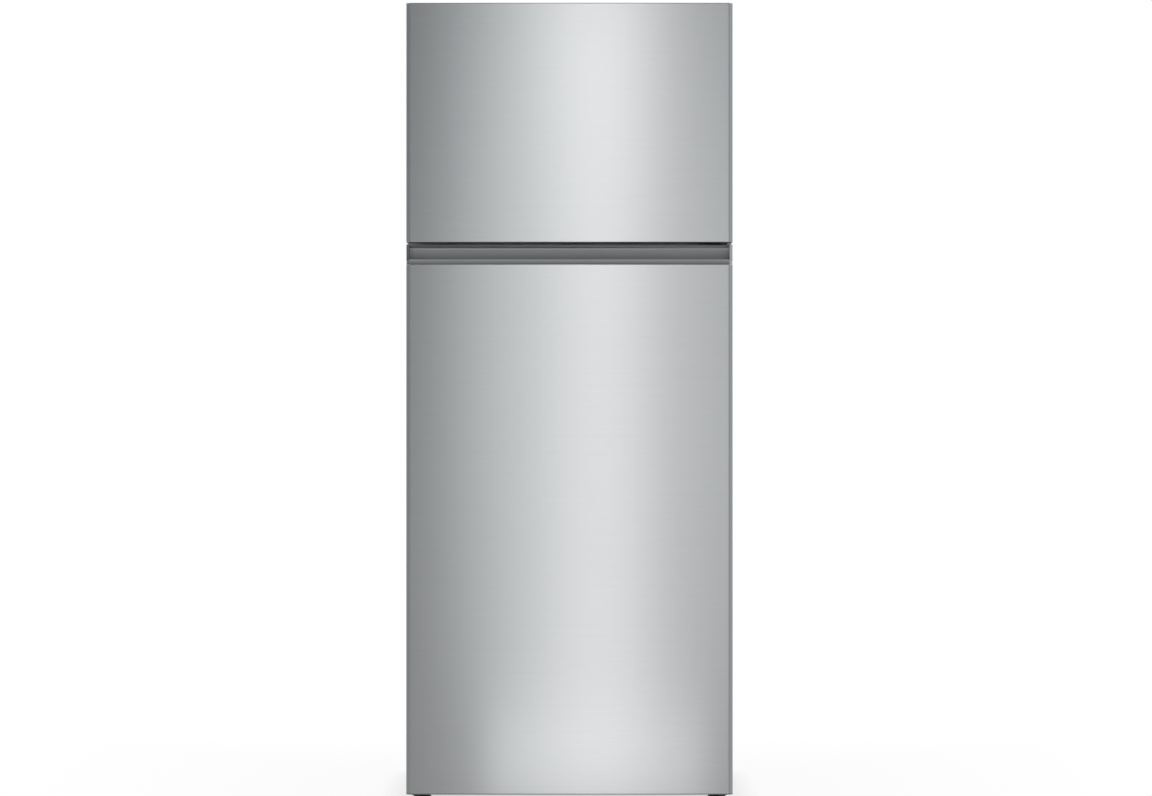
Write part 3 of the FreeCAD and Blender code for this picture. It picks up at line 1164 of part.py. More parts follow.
def evaporator_fan():
    """The fan: a hub and curved blades on the motor shaft."""
    hub = rod(0, FAN_Y, FAN_Z, FAN_HUB, FAN_DEPTH, (0, 1, 0))
    blades = []
    for n in range(FAN_BLADES):
        blade = box(-11, 11, -1.2, 1.2, FAN_HUB - 3, FAN_RADIUS - 4)
        blade.rotate(Vector(0, 0, 0), Vector(0, 0, 1), 28)
        blade.translate(Vector(0, FAN_Y + FAN_DEPTH / 2, FAN_Z))
        blade.rotate(Vector(0, 0, FAN_Z), Vector(0, 1, 0), 360.0 * n / FAN_BLADES)
        blades.append(blade)
    bore = rod(0, FAN_Y - 1, FAN_Z, FAN_SHAFT + RUNNING, FAN_DEPTH + 2, (0, 1, 0))
    return joined([hub] + blades).cut(bore)


def freezer_shelf():
    """The freezer's glass shelf with its front rail."""
    half = INNER - SLIDE_CLEARANCE * 2
    y0 = CABINET_FRONT + FREEZER_SHELF_FRONT
    level = FREEZER_SHELF_Z - GLASS
    plate = box(-half, half, y0 + 8, COVER_Y - 8, level, FREEZER_SHELF_Z)
    rail = rounded(box(-half, half, y0 - 4, y0 + 8, level - 4, level + 10), 3.0, (1, 0, 0), lambda p: p.y < y0)
    rail = without(rail, ledge(level, COVER_Y))
    return [plate, rail]


def ice_pivots():
    """The middles of the two ice trays."""
    return [ICE_MIDDLE - ICE_TRAY_PITCH / 2, ICE_MIDDLE + ICE_TRAY_PITCH / 2]


def ice_maker_frame():
    """The frame over the ice bin: top, sides and the two end plates the trays turn in."""
    wall = ICE_FRAME_WALL
    plate_bottom = ICE_BIN_TOP + 3
    sides = [box(ICE_LEFT, ICE_LEFT + wall, ICE_FRONT, ICE_END, FREEZER_FLOOR, ICE_TOP),
             box(ICE_RIGHT - wall, ICE_RIGHT, ICE_FRONT, ICE_END, FREEZER_FLOOR, ICE_TOP)]
    top = box(ICE_LEFT, ICE_RIGHT, ICE_FRONT, ICE_END, ICE_TOP - wall, ICE_TOP)
    ends = [box(ICE_LEFT, ICE_RIGHT, y, y + wall, plate_bottom, ICE_TOP) for y in (ICE_FRONT, ICE_END - wall)]
    holes = [rod(x, ICE_FRONT - 1, ICE_PIVOT_Z, ICE_PIVOT + RUNNING, ICE_FRAME_DEPTH + 2, (0, 1, 0))
             for x in ice_pivots()]
    return without(joined([*sides, top, *ends]), holes)


def ice_tray(x):
    """A twist tray with two rows of cells, its pivots and its front knob."""
    y0 = ICE_FRONT + ICE_FRAME_WALL + 2
    y1 = ICE_END - ICE_FRAME_WALL - 2
    half = ICE_TRAY_WIDTH / 2
    z0, z1 = ICE_PIVOT_Z - ICE_TRAY_HEIGHT / 2, ICE_PIVOT_Z + ICE_TRAY_HEIGHT / 2
    wall = ICE_TRAY_WALL
    tray = box(x - half, x + half, y0, y1, z0, z1)
    end = 10.0
    row = (ICE_TRAY_WIDTH - 3 * wall) / 2
    pitch = (y1 - y0 - 2 * end + wall) / ICE_CELLS
    cells = []
    for n in range(ICE_CELLS):
        for s in (0, 1):
            a = x - half + wall + s * (row + wall)
            b = y0 + end + n * pitch
            cells.append(box(a, a + row, b, b + pitch - wall, z0 + wall, z1 + 1))
    channel = box(x - half + wall, x + half - wall, y0 + end, y1 - end, z1 - ICE_CHANNEL, z1 + 1)
    front = rod(x, ICE_FRONT - 0.5, ICE_PIVOT_Z, ICE_PIVOT, y0 - ICE_FRONT + 0.5, (0, 1, 0))
    rear = rod(x, y1, ICE_PIVOT_Z, ICE_PIVOT, ICE_END - y1, (0, 1, 0))
    knob = rod(x, ICE_FRONT - 6.5, ICE_PIVOT_Z, ICE_KNOB, 6, (0, 1, 0))
    grip = box(x - 3, x + 3, ICE_FRONT - 16, ICE_FRONT - 6, ICE_PIVOT_Z - ICE_KNOB + 2, ICE_PIVOT_Z + ICE_KNOB - 2)
    return joined([without(tray, cells + [channel]), front, rear, knob, grip])


def ice_bin():
    """The pull-out bin under the ice trays."""
    gap = ICE_FRAME_WALL + 1.0
    return drawer(ICE_LEFT + gap, ICE_RIGHT - gap, ICE_FRONT + 4, ICE_END - 4,
                  FREEZER_FLOOR + SLIDE_CLEARANCE, ICE_BIN_TOP, CRISPER_WALL)


# ---------------------------------------------------------------- machine space
def compressor_can():
    """The pressed steel can of the compressor: straight wall and two domes."""
    radius = COMPRESSOR_RADIUS
    base = MACHINE_FLOOR + GROMMET_HEIGHT + COMPRESSOR_FOOT
    dome = 34.0
    can = rod(COMPRESSOR_X, COMPRESSOR_Y, base, radius, COMPRESSOR_HEIGHT, (0, 0, 1))
    top = [e for e in can.Edges if len(e.Vertexes) == 1 and e.CenterOfMass.z > base + 10]
    can = can.makeFillet(dome, top)
    seam = rod(COMPRESSOR_X, COMPRESSOR_Y, base + 0.45 * COMPRESSOR_HEIGHT, radius + 2, 5, (0, 0, 1))
    return joined([can, seam])


def grommet_places():
    return [(COMPRESSOR_X + dx, COMPRESSOR_Y + dy) for dx in (-88, 88) for dy in (-46, 46)]


def compressor():
    """The can on its foot plate, and the relay box clipped to its side."""
    base = MACHINE_FLOOR + GROMMET_HEIGHT
    plate = box(COMPRESSOR_X - 100, COMPRESSOR_X + 100, COMPRESSOR_Y - 58, COMPRESSOR_Y + 58,
                base, base + COMPRESSOR_FOOT)
    plate = rounded(plate, 12.0, (0, 0, 1))
    holes = [rod(x, y, base - 1, 5.0, 6, (0, 0, 1)) for x, y in grommet_places()]
    can = compressor_can()
    near = COMPRESSOR_X + COMPRESSOR_RADIUS + SLIDE_CLEARANCE
    relay = box(near, near + RELAY_DEPTH, COMPRESSOR_Y - 24, COMPRESSOR_Y + 24, base + 68, base + 94)
    stubs = [rod(*SUCTION_START, TUBE_RADIUS + 1, 14, (0, 0, -1)), rod(*DISCHARGE_START, TUBE_RADIUS + 1, 20, (0, 0, -1))]
    return [joined([without(plate, holes), can, *stubs]), relay]


def compressor_grommets():
    """The four rubber feet of the compressor."""
    feet = []
    for x, y in grommet_places():
        foot = rod(x, y, MACHINE_FLOOR, GROMMET_RADIUS, GROMMET_HEIGHT, (0, 0, 1))
        neck = rod(x, y, MACHINE_FLOOR, 4.9, GROMMET_HEIGHT + COMPRESSOR_FOOT, (0, 0, 1))
        head = rod(x, y, MACHINE_FLOOR + GROMMET_HEIGHT + COMPRESSOR_FOOT, 7.0, 3, (0, 0, 1))
        feet.append(joined([foot, neck, head]))
    return feet


CAN_TOP = MACHINE_FLOOR + GROMMET_HEIGHT + COMPRESSOR_FOOT + COMPRESSOR_HEIGHT
SUCTION_START = (COMPRESSOR_X - 30.0, COMPRESSOR_Y + 30.0, CAN_TOP + 4.0)
DISCHARGE_START = (COMPRESSOR_X - 44.0, COMPRESSOR_Y - 10.0, CAN_TOP + 4.0)
TRAY_X0 = COMPRESSOR_X - 16.0
TRAY_X1 = COMPRESSOR_X + 110.0
TRAY_Z = CAN_TOP + 6.0
DRAIN_X = COMPRESSOR_X + 60.0
SUCTION_X = COMPRESSOR_X - 60.0


def suction_tube():
    """The return line from the evaporator down the back wall to the compressor."""
    x, y, z = SUCTION_START
    evaporator_z = FREEZER_FLOOR + 64
    return tube([
        (x, y, z),
        (x, y, z + 20),
        (SUCTION_X, FOAM_TUBE_Y, MACHINE_TOP - 12),
        (SUCTION_X, FOAM_TUBE_Y, evaporator_z),
        (SUCTION_X, FREEZER_BACK - 6, evaporator_z),
    ], TUBE_RADIUS, 7.0)


def drain_tube():
    """The drain from the floor behind the evaporator cover to the evaporation tray."""
    y = FREEZER_BACK - 24
    return tube([
        (DRAIN_X, y, FREEZER_FLOOR - 0.4),
        (DRAIN_X, y, FREEZER_FLOOR - 30),
        (DRAIN_X, FOAM_TUBE_Y, FREEZER_FLOOR - 62),
        (DRAIN_X, FOAM_TUBE_Y, TRAY_Z + 10),
    ], DRAIN_RADIUS, 18.0)


def refrigerant_tubes():
    """The condenser coil, its feed from the compressor and the return line."""
    x0, x1 = -SIDE + 40, COMPRESSOR_X - 150
    y = COMPRESSOR_Y
    bottom = MACHINE_FLOOR + 18
    points = []
    for n in range(CONDENSER_RUNS):
        z = bottom + n * CONDENSER_PITCH
        ends = [(x0, y, z), (x1, y, z)]
        points += ends if n % 2 == 0 else ends[::-1]
    coil = tube(points, TUBE_RADIUS, CONDENSER_PITCH / 2 - 0.5)
    straps = [box(x - 2, x + 2, y - 4, y + 4, MACHINE_FLOOR, bottom + CONDENSER_PITCH * CONDENSER_RUNS - 20)
              for x in (x0 + 50, (x0 + x1) / 2, x1 - 40)]
    feed_x, feed_y, feed_z = DISCHARGE_START
    top_run = bottom + (CONDENSER_RUNS - 1) * CONDENSER_PITCH
    feed = tube([
        (feed_x, feed_y, feed_z),
        (feed_x, feed_y, feed_z + 18),
        (x0 - 18, feed_y, feed_z + 18),
        (x0 - 18, y, top_run),
        (x0, y, top_run),
    ], TUBE_RADIUS, 7.0)
    return [joined([coil, feed] + straps), suction_tube()]


def evaporation_tray():
    """The tray over the compressor that catches and dries the defrost water, and its drain tube."""
    tray = open_box(TRAY_X0, TRAY_X1, COMPRESSOR_Y - 60, COMPRESSOR_Y + 66, TRAY_Z, TRAY_Z + 26, 2.0, 10.0)
    posts = [rod(x, y, CAN_TOP - 30, 3.0, 36, (0, 0, 1)) for x, y in
             ((COMPRESSOR_X - 8, COMPRESSOR_Y), (COMPRESSOR_X + 24, COMPRESSOR_Y))]
    posts = [p.cut(compressor_can()) for p in posts]
    return [joined([tray] + posts), drain_tube()]


def compressor_cover():
    """The rear cover of the machine space with its air slots."""
    half = SIDE - SHEET - BASE_SHEET
    y1 = MACHINE_COVER_Y
    y0 = y1 - MACHINE_COVER_SHEET
    z0, z1 = MACHINE_FLOOR, MACHINE_TOP - BASE_SHEET
    panel = box(-half, half, y0, y1, z0, z1)
    rim = panel.fuse(box(-half, half, y0 - 12, y0, z1 - 2, z1))
    slots = []
    for column in range(-2, 3):
        x = column * 118
        for n in range(8):
            z = z0 + 62 + LOUVRE_PITCH * n
            slots.append(box(x - 42, x + 42, y0 - 1, y1 + 1, z, z + LOUVRE_HEIGHT))
    slots.append(rod(GLAND_X, y0 - 1, GLAND_Z, GLAND_RADIUS, MACHINE_COVER_SHEET + 2, (0, 1, 0)))
    return without(rim.removeSplitter(), slots)


def cord_gland():
    """The rubber bush that a mains lead passes through."""
    middle = MACHINE_COVER_Y - MACHINE_COVER_SHEET / 2
    y0 = middle - GLAND_LENGTH / 2
    sleeve = rod(GLAND_X, y0, GLAND_Z, GLAND_RADIUS, GLAND_LENGTH, (0, 1, 0))
    rims = [rod(GLAND_X, y, GLAND_Z, GLAND_RADIUS + 4, (GLAND_LENGTH - MACHINE_COVER_SHEET) / 2, (0, 1, 0))
            for y in (y0, middle + MACHINE_COVER_SHEET / 2)]
    bore = rod(GLAND_X, y0 - 1, GLAND_Z, GLAND_BORE, GLAND_LENGTH + 2, (0, 1, 0))
    return joined([sleeve] + rims).cut(bore)


# ---------------------------------------------------------------- all nodes
def drilled(shape):
    """A shape with the holes of the hinge screws in it."""
    return without(shape, hinge_screws())


def nodes():
    """Every sub-part by name, each as one solid or a list of separate solids."""
    left_x, right_x = ice_pivots()
    named = {
        "cabinet_wrapper": drilled(cabinet_wrapper()),
        "cabinet_foam": drilled(cabinet_foam()),
        "fridge_liner": fridge_liner(),
        "freezer_liner": freezer_liner(),
        "mullion_strip": drilled(mullion_strip()),
        "base_frame": drilled(base_frame()),
        "back_panel": back_panel(),
        "freezer_door_skin": freezer_door_skin(),
        "freezer_door_foam": freezer_door_foam(),
        "freezer_door_liner": freezer_door_liner(),
        "freezer_door_caps": list(freezer_door_caps()),
        "freezer_door_seal": freezer_door_seal(),
        "freezer_door_bins": freezer_door_bins(),
        "fridge_door_skin": fridge_door_skin(),
        "fridge_door_foam": fridge_door_foam(),
        "fridge_door_liner": fridge_door_liner(),
        "handle_trim": handle_trim(),
        "handle_end_caps": handle_end_caps(),
        "fridge_door_cap": fridge_door_cap(),
        "fridge_door_seal": fridge_door_seal(),
        "fridge_door_bins": fridge_door_bins(),
        "dairy_lid": dairy_lid(),
        "top_hinge": top_hinge(),
        "hinge_cover": hinge_cover(),
        "middle_hinge": middle_hinge(),
        "bottom_hinge": bottom_hinge(),
        "hinge_screws": hinge_screws(),
        "base_brackets": base_brackets(),
        "levelling_foot_left": levelling_foot(-1),
        "levelling_foot_right": levelling_foot(1),
        "rear_roller_left": rear_roller(-1),
        "rear_roller_right": rear_roller(1),
        "shelf_trims": shelf_trims(),
        "crisper_frame": crisper_cover()[0],
        "crisper_glass": crisper_cover()[1],
        "humidity_slider": humidity_slider(),
        "crisper_left": crisper(-1),
        "crisper_right": crisper(1),
        "air_duct_cover": air_duct_cover(),
        "control_housing": control_housing(),
        "temperature_knob": temperature_knob(),
        "lamp_lens": lamp_lens(),
        "evaporator_cover": evaporator_cover(),
        "airflow_slider": airflow_slider(),
        "evaporator": evaporator(),
        "defrost_heater": defrost_heater(),
        "fan_motor": fan_motor(),
        "evaporator_fan": evaporator_fan(),
        "freezer_shelf": freezer_shelf(),
        "ice_maker_frame": ice_maker_frame(),
        "ice_tray_left": ice_tray(left_x),
        "ice_tray_right": ice_tray(right_x),
        "ice_bin": ice_bin(),
        "compressor": compressor(),
        "compressor_grommets": compressor_grommets(),
        "refrigerant_tubes": refrigerant_tubes(),
        "evaporation_tray": evaporation_tray(),
        "compressor_cover": compressor_cover(),
        "cord_gland": cord_gland(),
        "shelves": [shelf(level) for level in SHELF_LEVELS],
    }
    return named


def main():
    os.makedirs("parts", exist_ok=True)
    for name, shape in nodes().items():
        solids = []
        for piece in shape if isinstance(shape, list) else [shape]:
            solids += piece.Solids
        whole = solids[0] if len(solids) == 1 else Part.makeCompound(solids)
        whole.exportStep("parts/" + name + ".step")


if __name__ == "__main__":
    main()
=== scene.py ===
import json
import math

import bmesh
import bpy
from mathutils import Matrix, Vector


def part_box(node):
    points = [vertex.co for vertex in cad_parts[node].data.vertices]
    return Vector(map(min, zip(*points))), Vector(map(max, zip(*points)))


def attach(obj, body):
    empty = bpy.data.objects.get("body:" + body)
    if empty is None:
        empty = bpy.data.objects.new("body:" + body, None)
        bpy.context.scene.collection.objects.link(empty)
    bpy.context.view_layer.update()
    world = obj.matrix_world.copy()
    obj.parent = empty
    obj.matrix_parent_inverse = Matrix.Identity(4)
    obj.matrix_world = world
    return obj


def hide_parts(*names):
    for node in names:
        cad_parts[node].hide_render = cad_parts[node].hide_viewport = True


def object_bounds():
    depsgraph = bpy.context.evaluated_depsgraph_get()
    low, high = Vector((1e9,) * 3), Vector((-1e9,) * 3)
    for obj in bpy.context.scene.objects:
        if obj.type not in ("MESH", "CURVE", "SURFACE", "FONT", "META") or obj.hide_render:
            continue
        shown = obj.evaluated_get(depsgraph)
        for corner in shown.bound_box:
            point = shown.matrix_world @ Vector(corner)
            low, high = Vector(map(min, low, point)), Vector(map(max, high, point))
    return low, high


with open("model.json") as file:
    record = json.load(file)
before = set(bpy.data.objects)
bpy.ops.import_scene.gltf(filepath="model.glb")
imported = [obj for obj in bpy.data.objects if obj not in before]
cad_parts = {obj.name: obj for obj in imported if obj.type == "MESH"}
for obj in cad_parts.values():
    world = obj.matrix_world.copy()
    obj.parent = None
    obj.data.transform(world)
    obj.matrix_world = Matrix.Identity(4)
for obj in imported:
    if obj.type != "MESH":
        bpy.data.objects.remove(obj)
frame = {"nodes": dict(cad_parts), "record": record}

cad_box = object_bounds()
MM = 0.001
BODY_OF = {n: b for b, members in frame["record"]["behaviour"]["bodies"].items() for n in members}
SLOT_OF = {part["node"]: part["material_slot"] for part in frame["record"]["subparts"]}
scene = bpy.context.scene


# ------------------------------------------------------------------ node helpers
def place(tree, kind, values=None, **settings):
    """One node, with its settings, and its inputs set or linked."""
    made = tree.nodes.new(kind)
    for name, value in settings.items():
        setattr(made, name, value)
    for name, value in (values or {}).items():
        socket = made.inputs[name]
        if isinstance(value, bpy.types.NodeSocket):
            tree.links.new(value, socket)
        else:
            socket.default_value = value
    return made


def calc(tree, operation, *numbers, clamp=False):
    values = {i: number for i, number in enumerate(numbers)}
    return place(tree, "ShaderNodeMath", values, operation=operation, use_clamp=clamp).outputs[0]


def blend_colour(tree, amount, first, second, how="MIX"):
    values = {0: amount, 6: first, 7: second}
    made = place(tree, "ShaderNodeMix", values, data_type="RGBA", blend_type=how, clamp_factor=True)
    return made.outputs[2]


def spread(tree, value, low, high, out_low, out_high):
    values = {0: value, 1: low, 2: high, 3: out_low, 4: out_high}
    return place(tree, "ShaderNodeMapRange", values, clamp=True).outputs[0]


def noise(tree, vector, scale, detail=2.0, rough=0.5, distortion=0.0):
    values = {"Vector": vector, "Scale": scale, "Detail": detail, "Roughness": rough, "Distortion": distortion}
    return place(tree, "ShaderNodeTexNoise", values).outputs["Fac"]


def stretched(tree, vector, scale):
    return place(tree, "ShaderNodeMapping", {"Vector": vector, "Scale": scale}).outputs["Vector"]


def shader_group(name, inputs, outputs):
    """An empty shader group with named sockets, its input node and its output node."""
    tree = bpy.data.node_groups.new(name, "ShaderNodeTree")
    for label, kind, value in inputs:
        socket = tree.interface.new_socket(label, in_out="INPUT", socket_type="NodeSocket" + kind)
        if value is not None:
            socket.default_value = value
    for label, kind in outputs:
        tree.interface.new_socket(label, in_out="OUTPUT", socket_type="NodeSocket" + kind)
    return tree, tree.nodes.new("NodeGroupInput").outputs, tree.nodes.new("NodeGroupOutput").inputs


# ------------------------------------------------------------------ shared finishes
def brushed_group():
    """Fine level lines of a brushed sheet, with broader bands and short scratches."""
    tree, given, wanted = shader_group(
        "brushed lines",
        [("Vector", "Vector", None), ("Colour", "Color", (0.6, 0.6, 0.6, 1)), ("Roughness", "Float", 0.3),
         ("Contrast", "Float", 0.1), ("Line pitch", "Float", 1500.0), ("Line stretch", "Float", 0.01)],
        [("Colour", "Color"), ("Roughness", "Float"), ("Height", "Float")])
    run = calc(tree, "MULTIPLY", given["Line pitch"], given["Line stretch"])
    across = place(tree, "ShaderNodeCombineXYZ", {0: run, 1: run, 2: given["Line pitch"]}).outputs[0]
    fine = noise(tree, place(tree, "ShaderNodeVectorMath", {0: given["Vector"], 1: across},
                             operation="MULTIPLY").outputs[0], 1.0, 3.0, 0.65)
    bands = noise(tree, stretched(tree, given["Vector"], (2.2, 2.2, 190.0)), 1.0, 3.0, 0.6)
    scratch = noise(tree, stretched(tree, given["Vector"], (26.0, 26.0, 720.0)), 1.0, 1.0, 0.5)
    scratch = spread(tree, scratch, 0.62, 0.74, 0.0, 1.0)
    drift = noise(tree, stretched(tree, given["Vector"], (1.6, 1.6, 2.4)), 1.0, 2.0, 0.5)
    lines = calc(tree, "ADD", calc(tree, "MULTIPLY", fine, 0.75), calc(tree, "MULTIPLY", bands, 0.35))
    lines = calc(tree, "ADD", lines, calc(tree, "MULTIPLY", scratch, 0.12))
    shade = calc(tree, "MULTIPLY", calc(tree, "SUBTRACT", lines, 0.55), given["Contrast"])
    shade = calc(tree, "ADD", shade, calc(tree, "MULTIPLY", calc(tree, "SUBTRACT", drift, 0.5), 0.03))
    tone = place(tree, "ShaderNodeHueSaturation", {"Color": given["Colour"], "Value": calc(tree, "ADD", 1.0, shade)})
    tree.links.new(tone.outputs[0], wanted["Colour"])
    rough = calc(tree, "ADD", given["Roughness"], calc(tree, "MULTIPLY", calc(tree, "SUBTRACT", lines, 0.55), 0.10))
    tree.links.new(rough, wanted["Roughness"])
    tree.links.new(lines, wanted["Height"])
    return tree


def moulded_group():
    """A moulded or sprayed surface: fine skin, slow change of tone and faint handling marks."""
    tree, given, wanted = shader_group(
        "moulded surface",
        [("Vector", "Vector", None), ("Colour", "Color", (0.5, 0.5, 0.5, 1)), ("Roughness", "Float", 0.4),
         ("Grain", "Float", 900.0), ("Mottle", "Float", 0.05), ("Marks", "Float", 0.05)],
        [("Colour", "Color"), ("Roughness", "Float"), ("Height", "Float")])
    skin = noise(tree, given["Vector"], given["Grain"], 2.0, 0.55)
    slow = noise(tree, given["Vector"], 5.0, 4.0, 0.6, 0.4)
    rubbed = noise(tree, given["Vector"], 38.0, 5.0, 0.7, 1.2)
    rubbed = spread(tree, rubbed, 0.5, 0.72, 0.0, 1.0)
    change = calc(tree, "MULTIPLY", calc(tree, "SUBTRACT", slow, 0.5), given["Mottle"])
    change = calc(tree, "ADD", change, calc(tree, "MULTIPLY", calc(tree, "SUBTRACT", skin, 0.5), given["Mottle"]))
    tone = place(tree, "ShaderNodeHueSaturation", {"Color": given["Colour"], "Value": calc(tree, "ADD", 1.0, change)})
    tree.links.new(tone.outputs[0], wanted["Colour"])
    rough = calc(tree, "ADD", given["Roughness"], calc(tree, "MULTIPLY", rubbed, given["Marks"]), clamp=True)
    tree.links.new(rough, wanted["Roughness"])
    tree.links.new(skin, wanted["Height"])
    return tree


def dust_group():
    """A thin veil of dust on what faces up."""
    tree, given, wanted = shader_group(
        "settled dust",
        [("Vector", "Vector", None), ("Normal", "Vector", None), ("Colour", "Color", (0.5, 0.5, 0.5, 1)),
         ("Roughness", "Float", 0.4), ("Amount", "Float", 0.2)],
        [("Colour", "Color"), ("Roughness", "Float")])
    up = place(tree, "ShaderNodeSeparateXYZ", {0: given["Normal"]}).outputs["Z"]
    up = spread(tree, up, 0.6, 1.0, 0.0, 1.0)
    patches = spread(tree, noise(tree, given["Vector"], 24.0, 6.0, 0.65), 0.35, 0.7, 0.3, 1.0)
    cover = calc(tree, "MULTIPLY", calc(tree, "MULTIPLY", up, patches), given["Amount"])
    tree.links.new(blend_colour(tree, cover, given["Colour"], (0.62, 0.6, 0.57, 1)), wanted["Colour"])
    tree.links.new(calc(tree, "ADD", given["Roughness"], calc(tree, "MULTIPLY", cover, 0.6), clamp=True),
                   wanted["Roughness"])
    return tree


BRUSHED = brushed_group()
MOULDED = moulded_group()
DUST = dust_group()
MATERIALS = {}


def blank_material(name, **fixed):
    """A new material: its tree, its shader and its object coordinates. fixed sets plain shader sockets."""
    made = bpy.data.materials.new(name)
    made.use_nodes = True
    tree = made.node_tree
    shader = tree.nodes["Principled BSDF"]
    for label, value in fixed.items():
        shader.inputs[label.replace("_", " ")].default_value = value
    coords = tree.nodes.new("ShaderNodeTexCoord")
    MATERIALS[name] = made
    return tree, shader, coords


def bumped(tree, shader, height, strength, distance):
    bump = place(tree, "ShaderNodeBump", {"Height": height, "Strength": strength, "Distance": distance})
    tree.links.new(bump.outputs[0], shader.inputs["Normal"])


def dusted(tree, coords, colour, rough, amount):
    values = {"Vector": coords.outputs["Object"], "Normal": coords.outputs["Normal"], "Colour": colour,
              "Roughness": rough, "Amount": amount}
    made = place(tree, "ShaderNodeGroup", node_tree=DUST)
    for name, value in values.items():
        if isinstance(value, bpy.types.NodeSocket):
            tree.links.new(value, made.inputs[name])
        else:
            made.inputs[name].default_value = value
    return made.outputs["Colour"], made.outputs["Roughness"]


def brushed_metal(name, colour, rough, contrast, pitch=1500.0, stretch=0.01, depth=0.02, turn=0.25, grip=0.7,
                  swap=None):
    """Brushed metal with its highlight drawn out across the lines."""
    tree, shader, coords = blank_material(name, Metallic=1.0, Anisotropic=grip, Anisotropic_Rotation=turn)
    vector = coords.outputs["Object"]
    if swap:
        vector = place(tree, "ShaderNodeMapping", {"Vector": vector, "Rotation": swap}).outputs["Vector"]
    made = place(tree, "ShaderNodeGroup", node_tree=BRUSHED)
    tree.links.new(vector, made.inputs["Vector"])
    for label, value in (("Colour", (*colour, 1)), ("Roughness", rough), ("Contrast", contrast),
                         ("Line pitch", pitch), ("Line stretch", stretch)):
        made.inputs[label].default_value = value
    tree.links.new(made.outputs["Colour"], shader.inputs["Base Color"])
    tree.links.new(made.outputs["Roughness"], shader.inputs["Roughness"])
    around = place(tree, "ShaderNodeTangent", direction_type="RADIAL", axis="Z")
    tree.links.new(around.outputs[0], shader.inputs["Tangent"])
    bumped(tree, shader, made.outputs["Height"], depth, 0.0002)
    return MATERIALS[name]


def moulded(name, colour, rough, grain=900.0, mottle=0.05, marks=0.06, depth=0.15, dust=0.0, metal=0.0, **fixed):
    """Moulded plastic, paint, rubber or glass with a fine skin."""
    tree, shader, coords = blank_material(name, Metallic=metal, **fixed)
    made = place(tree, "ShaderNodeGroup", node_tree=MOULDED)
    tree.links.new(coords.outputs["Object"], made.inputs["Vector"])
    for label, value in (("Colour", (*colour, 1)), ("Roughness", rough), ("Grain", grain), ("Mottle", mottle),
                         ("Marks", marks)):
        made.inputs[label].default_value = value
    tone, shine = made.outputs["Colour"], made.outputs["Roughness"]
    if dust:
        tone, shine = dusted(tree, coords, tone, shine, dust)
    tree.links.new(tone, shader.inputs["Base Color"])
    tree.links.new(shine, shader.inputs["Roughness"])
    bumped(tree, shader, made.outputs["Height"], depth, 0.0003)
    return MATERIALS[name]


def see_through(name, colour, rough, **settings):
    """Clear or frosted plastic or glass that lets daylight reach what is behind it."""
    made = moulded(name, colour, rough, **settings)
    tree = made.node_tree
    shader = tree.nodes["Principled BSDF"]
    path = tree.nodes.new("ShaderNodeLightPath")
    lets_by = calc(tree, "MAXIMUM", path.outputs["Is Shadow Ray"], path.outputs["Is Diffuse Ray"])
    open_air = place(tree, "ShaderNodeBsdfTransparent", {"Color": (0.93, 0.95, 0.95, 1)})
    both = place(tree, "ShaderNodeMixShader", {0: lets_by, 1: shader.outputs[0], 2: open_air.outputs[0]})
    tree.links.new(both.outputs[0], tree.nodes["Material Output"].inputs["Surface"])
    return made


def spangled(name, colour):
    """Galvanised sheet: large flat crystals of slightly different tone."""
    tree, shader, coords = blank_material(name, Metallic=1.0)
    cells = place(tree, "ShaderNodeTexVoronoi", {"Vector": coords.outputs["Object"], "Scale": 170.0,
                                                 "Randomness": 1.0}, feature="F1")
    tone = place(tree, "ShaderNodeSeparateColor", {0: cells.outputs["Color"]}).outputs[0]
    value = spread(tree, tone, 0.0, 1.0, 0.94, 1.04)
    shade = place(tree, "ShaderNodeHueSaturation", {"Color": (*colour, 1), "Value": value}).outputs[0]
    wear = noise(tree, coords.outputs["Object"], 9.0, 5.0, 0.65)
    rough = calc(tree, "ADD", spread(tree, tone, 0.0, 1.0, 0.42, 0.48), calc(tree, "MULTIPLY", wear, 0.12))
    shade, rough = dusted(tree, coords, shade, rough, 0.25)
    tree.links.new(shade, shader.inputs["Base Color"])
    tree.links.new(rough, shader.inputs["Roughness"])
    bumped(tree, shader, tone, 0.03, 0.0003)
    return MATERIALS[name]


LIP_TOP = 1.1735              # upper edge of the lip of the recessed handle
# Painted shade and light up the handle, as height (0 at the foot of the lip, 1 at the top of the trim) and colour
# factor: dark in the groove under the lip, lightest near the top of the scoop.
HANDLE_PAINTED_SHADE = ((0.0, 0.24), (0.2, 0.6), (0.25, 0.65), (0.28, 0.56), (0.8, 1.0), (0.86, 0.68), (1.0, 0.68))


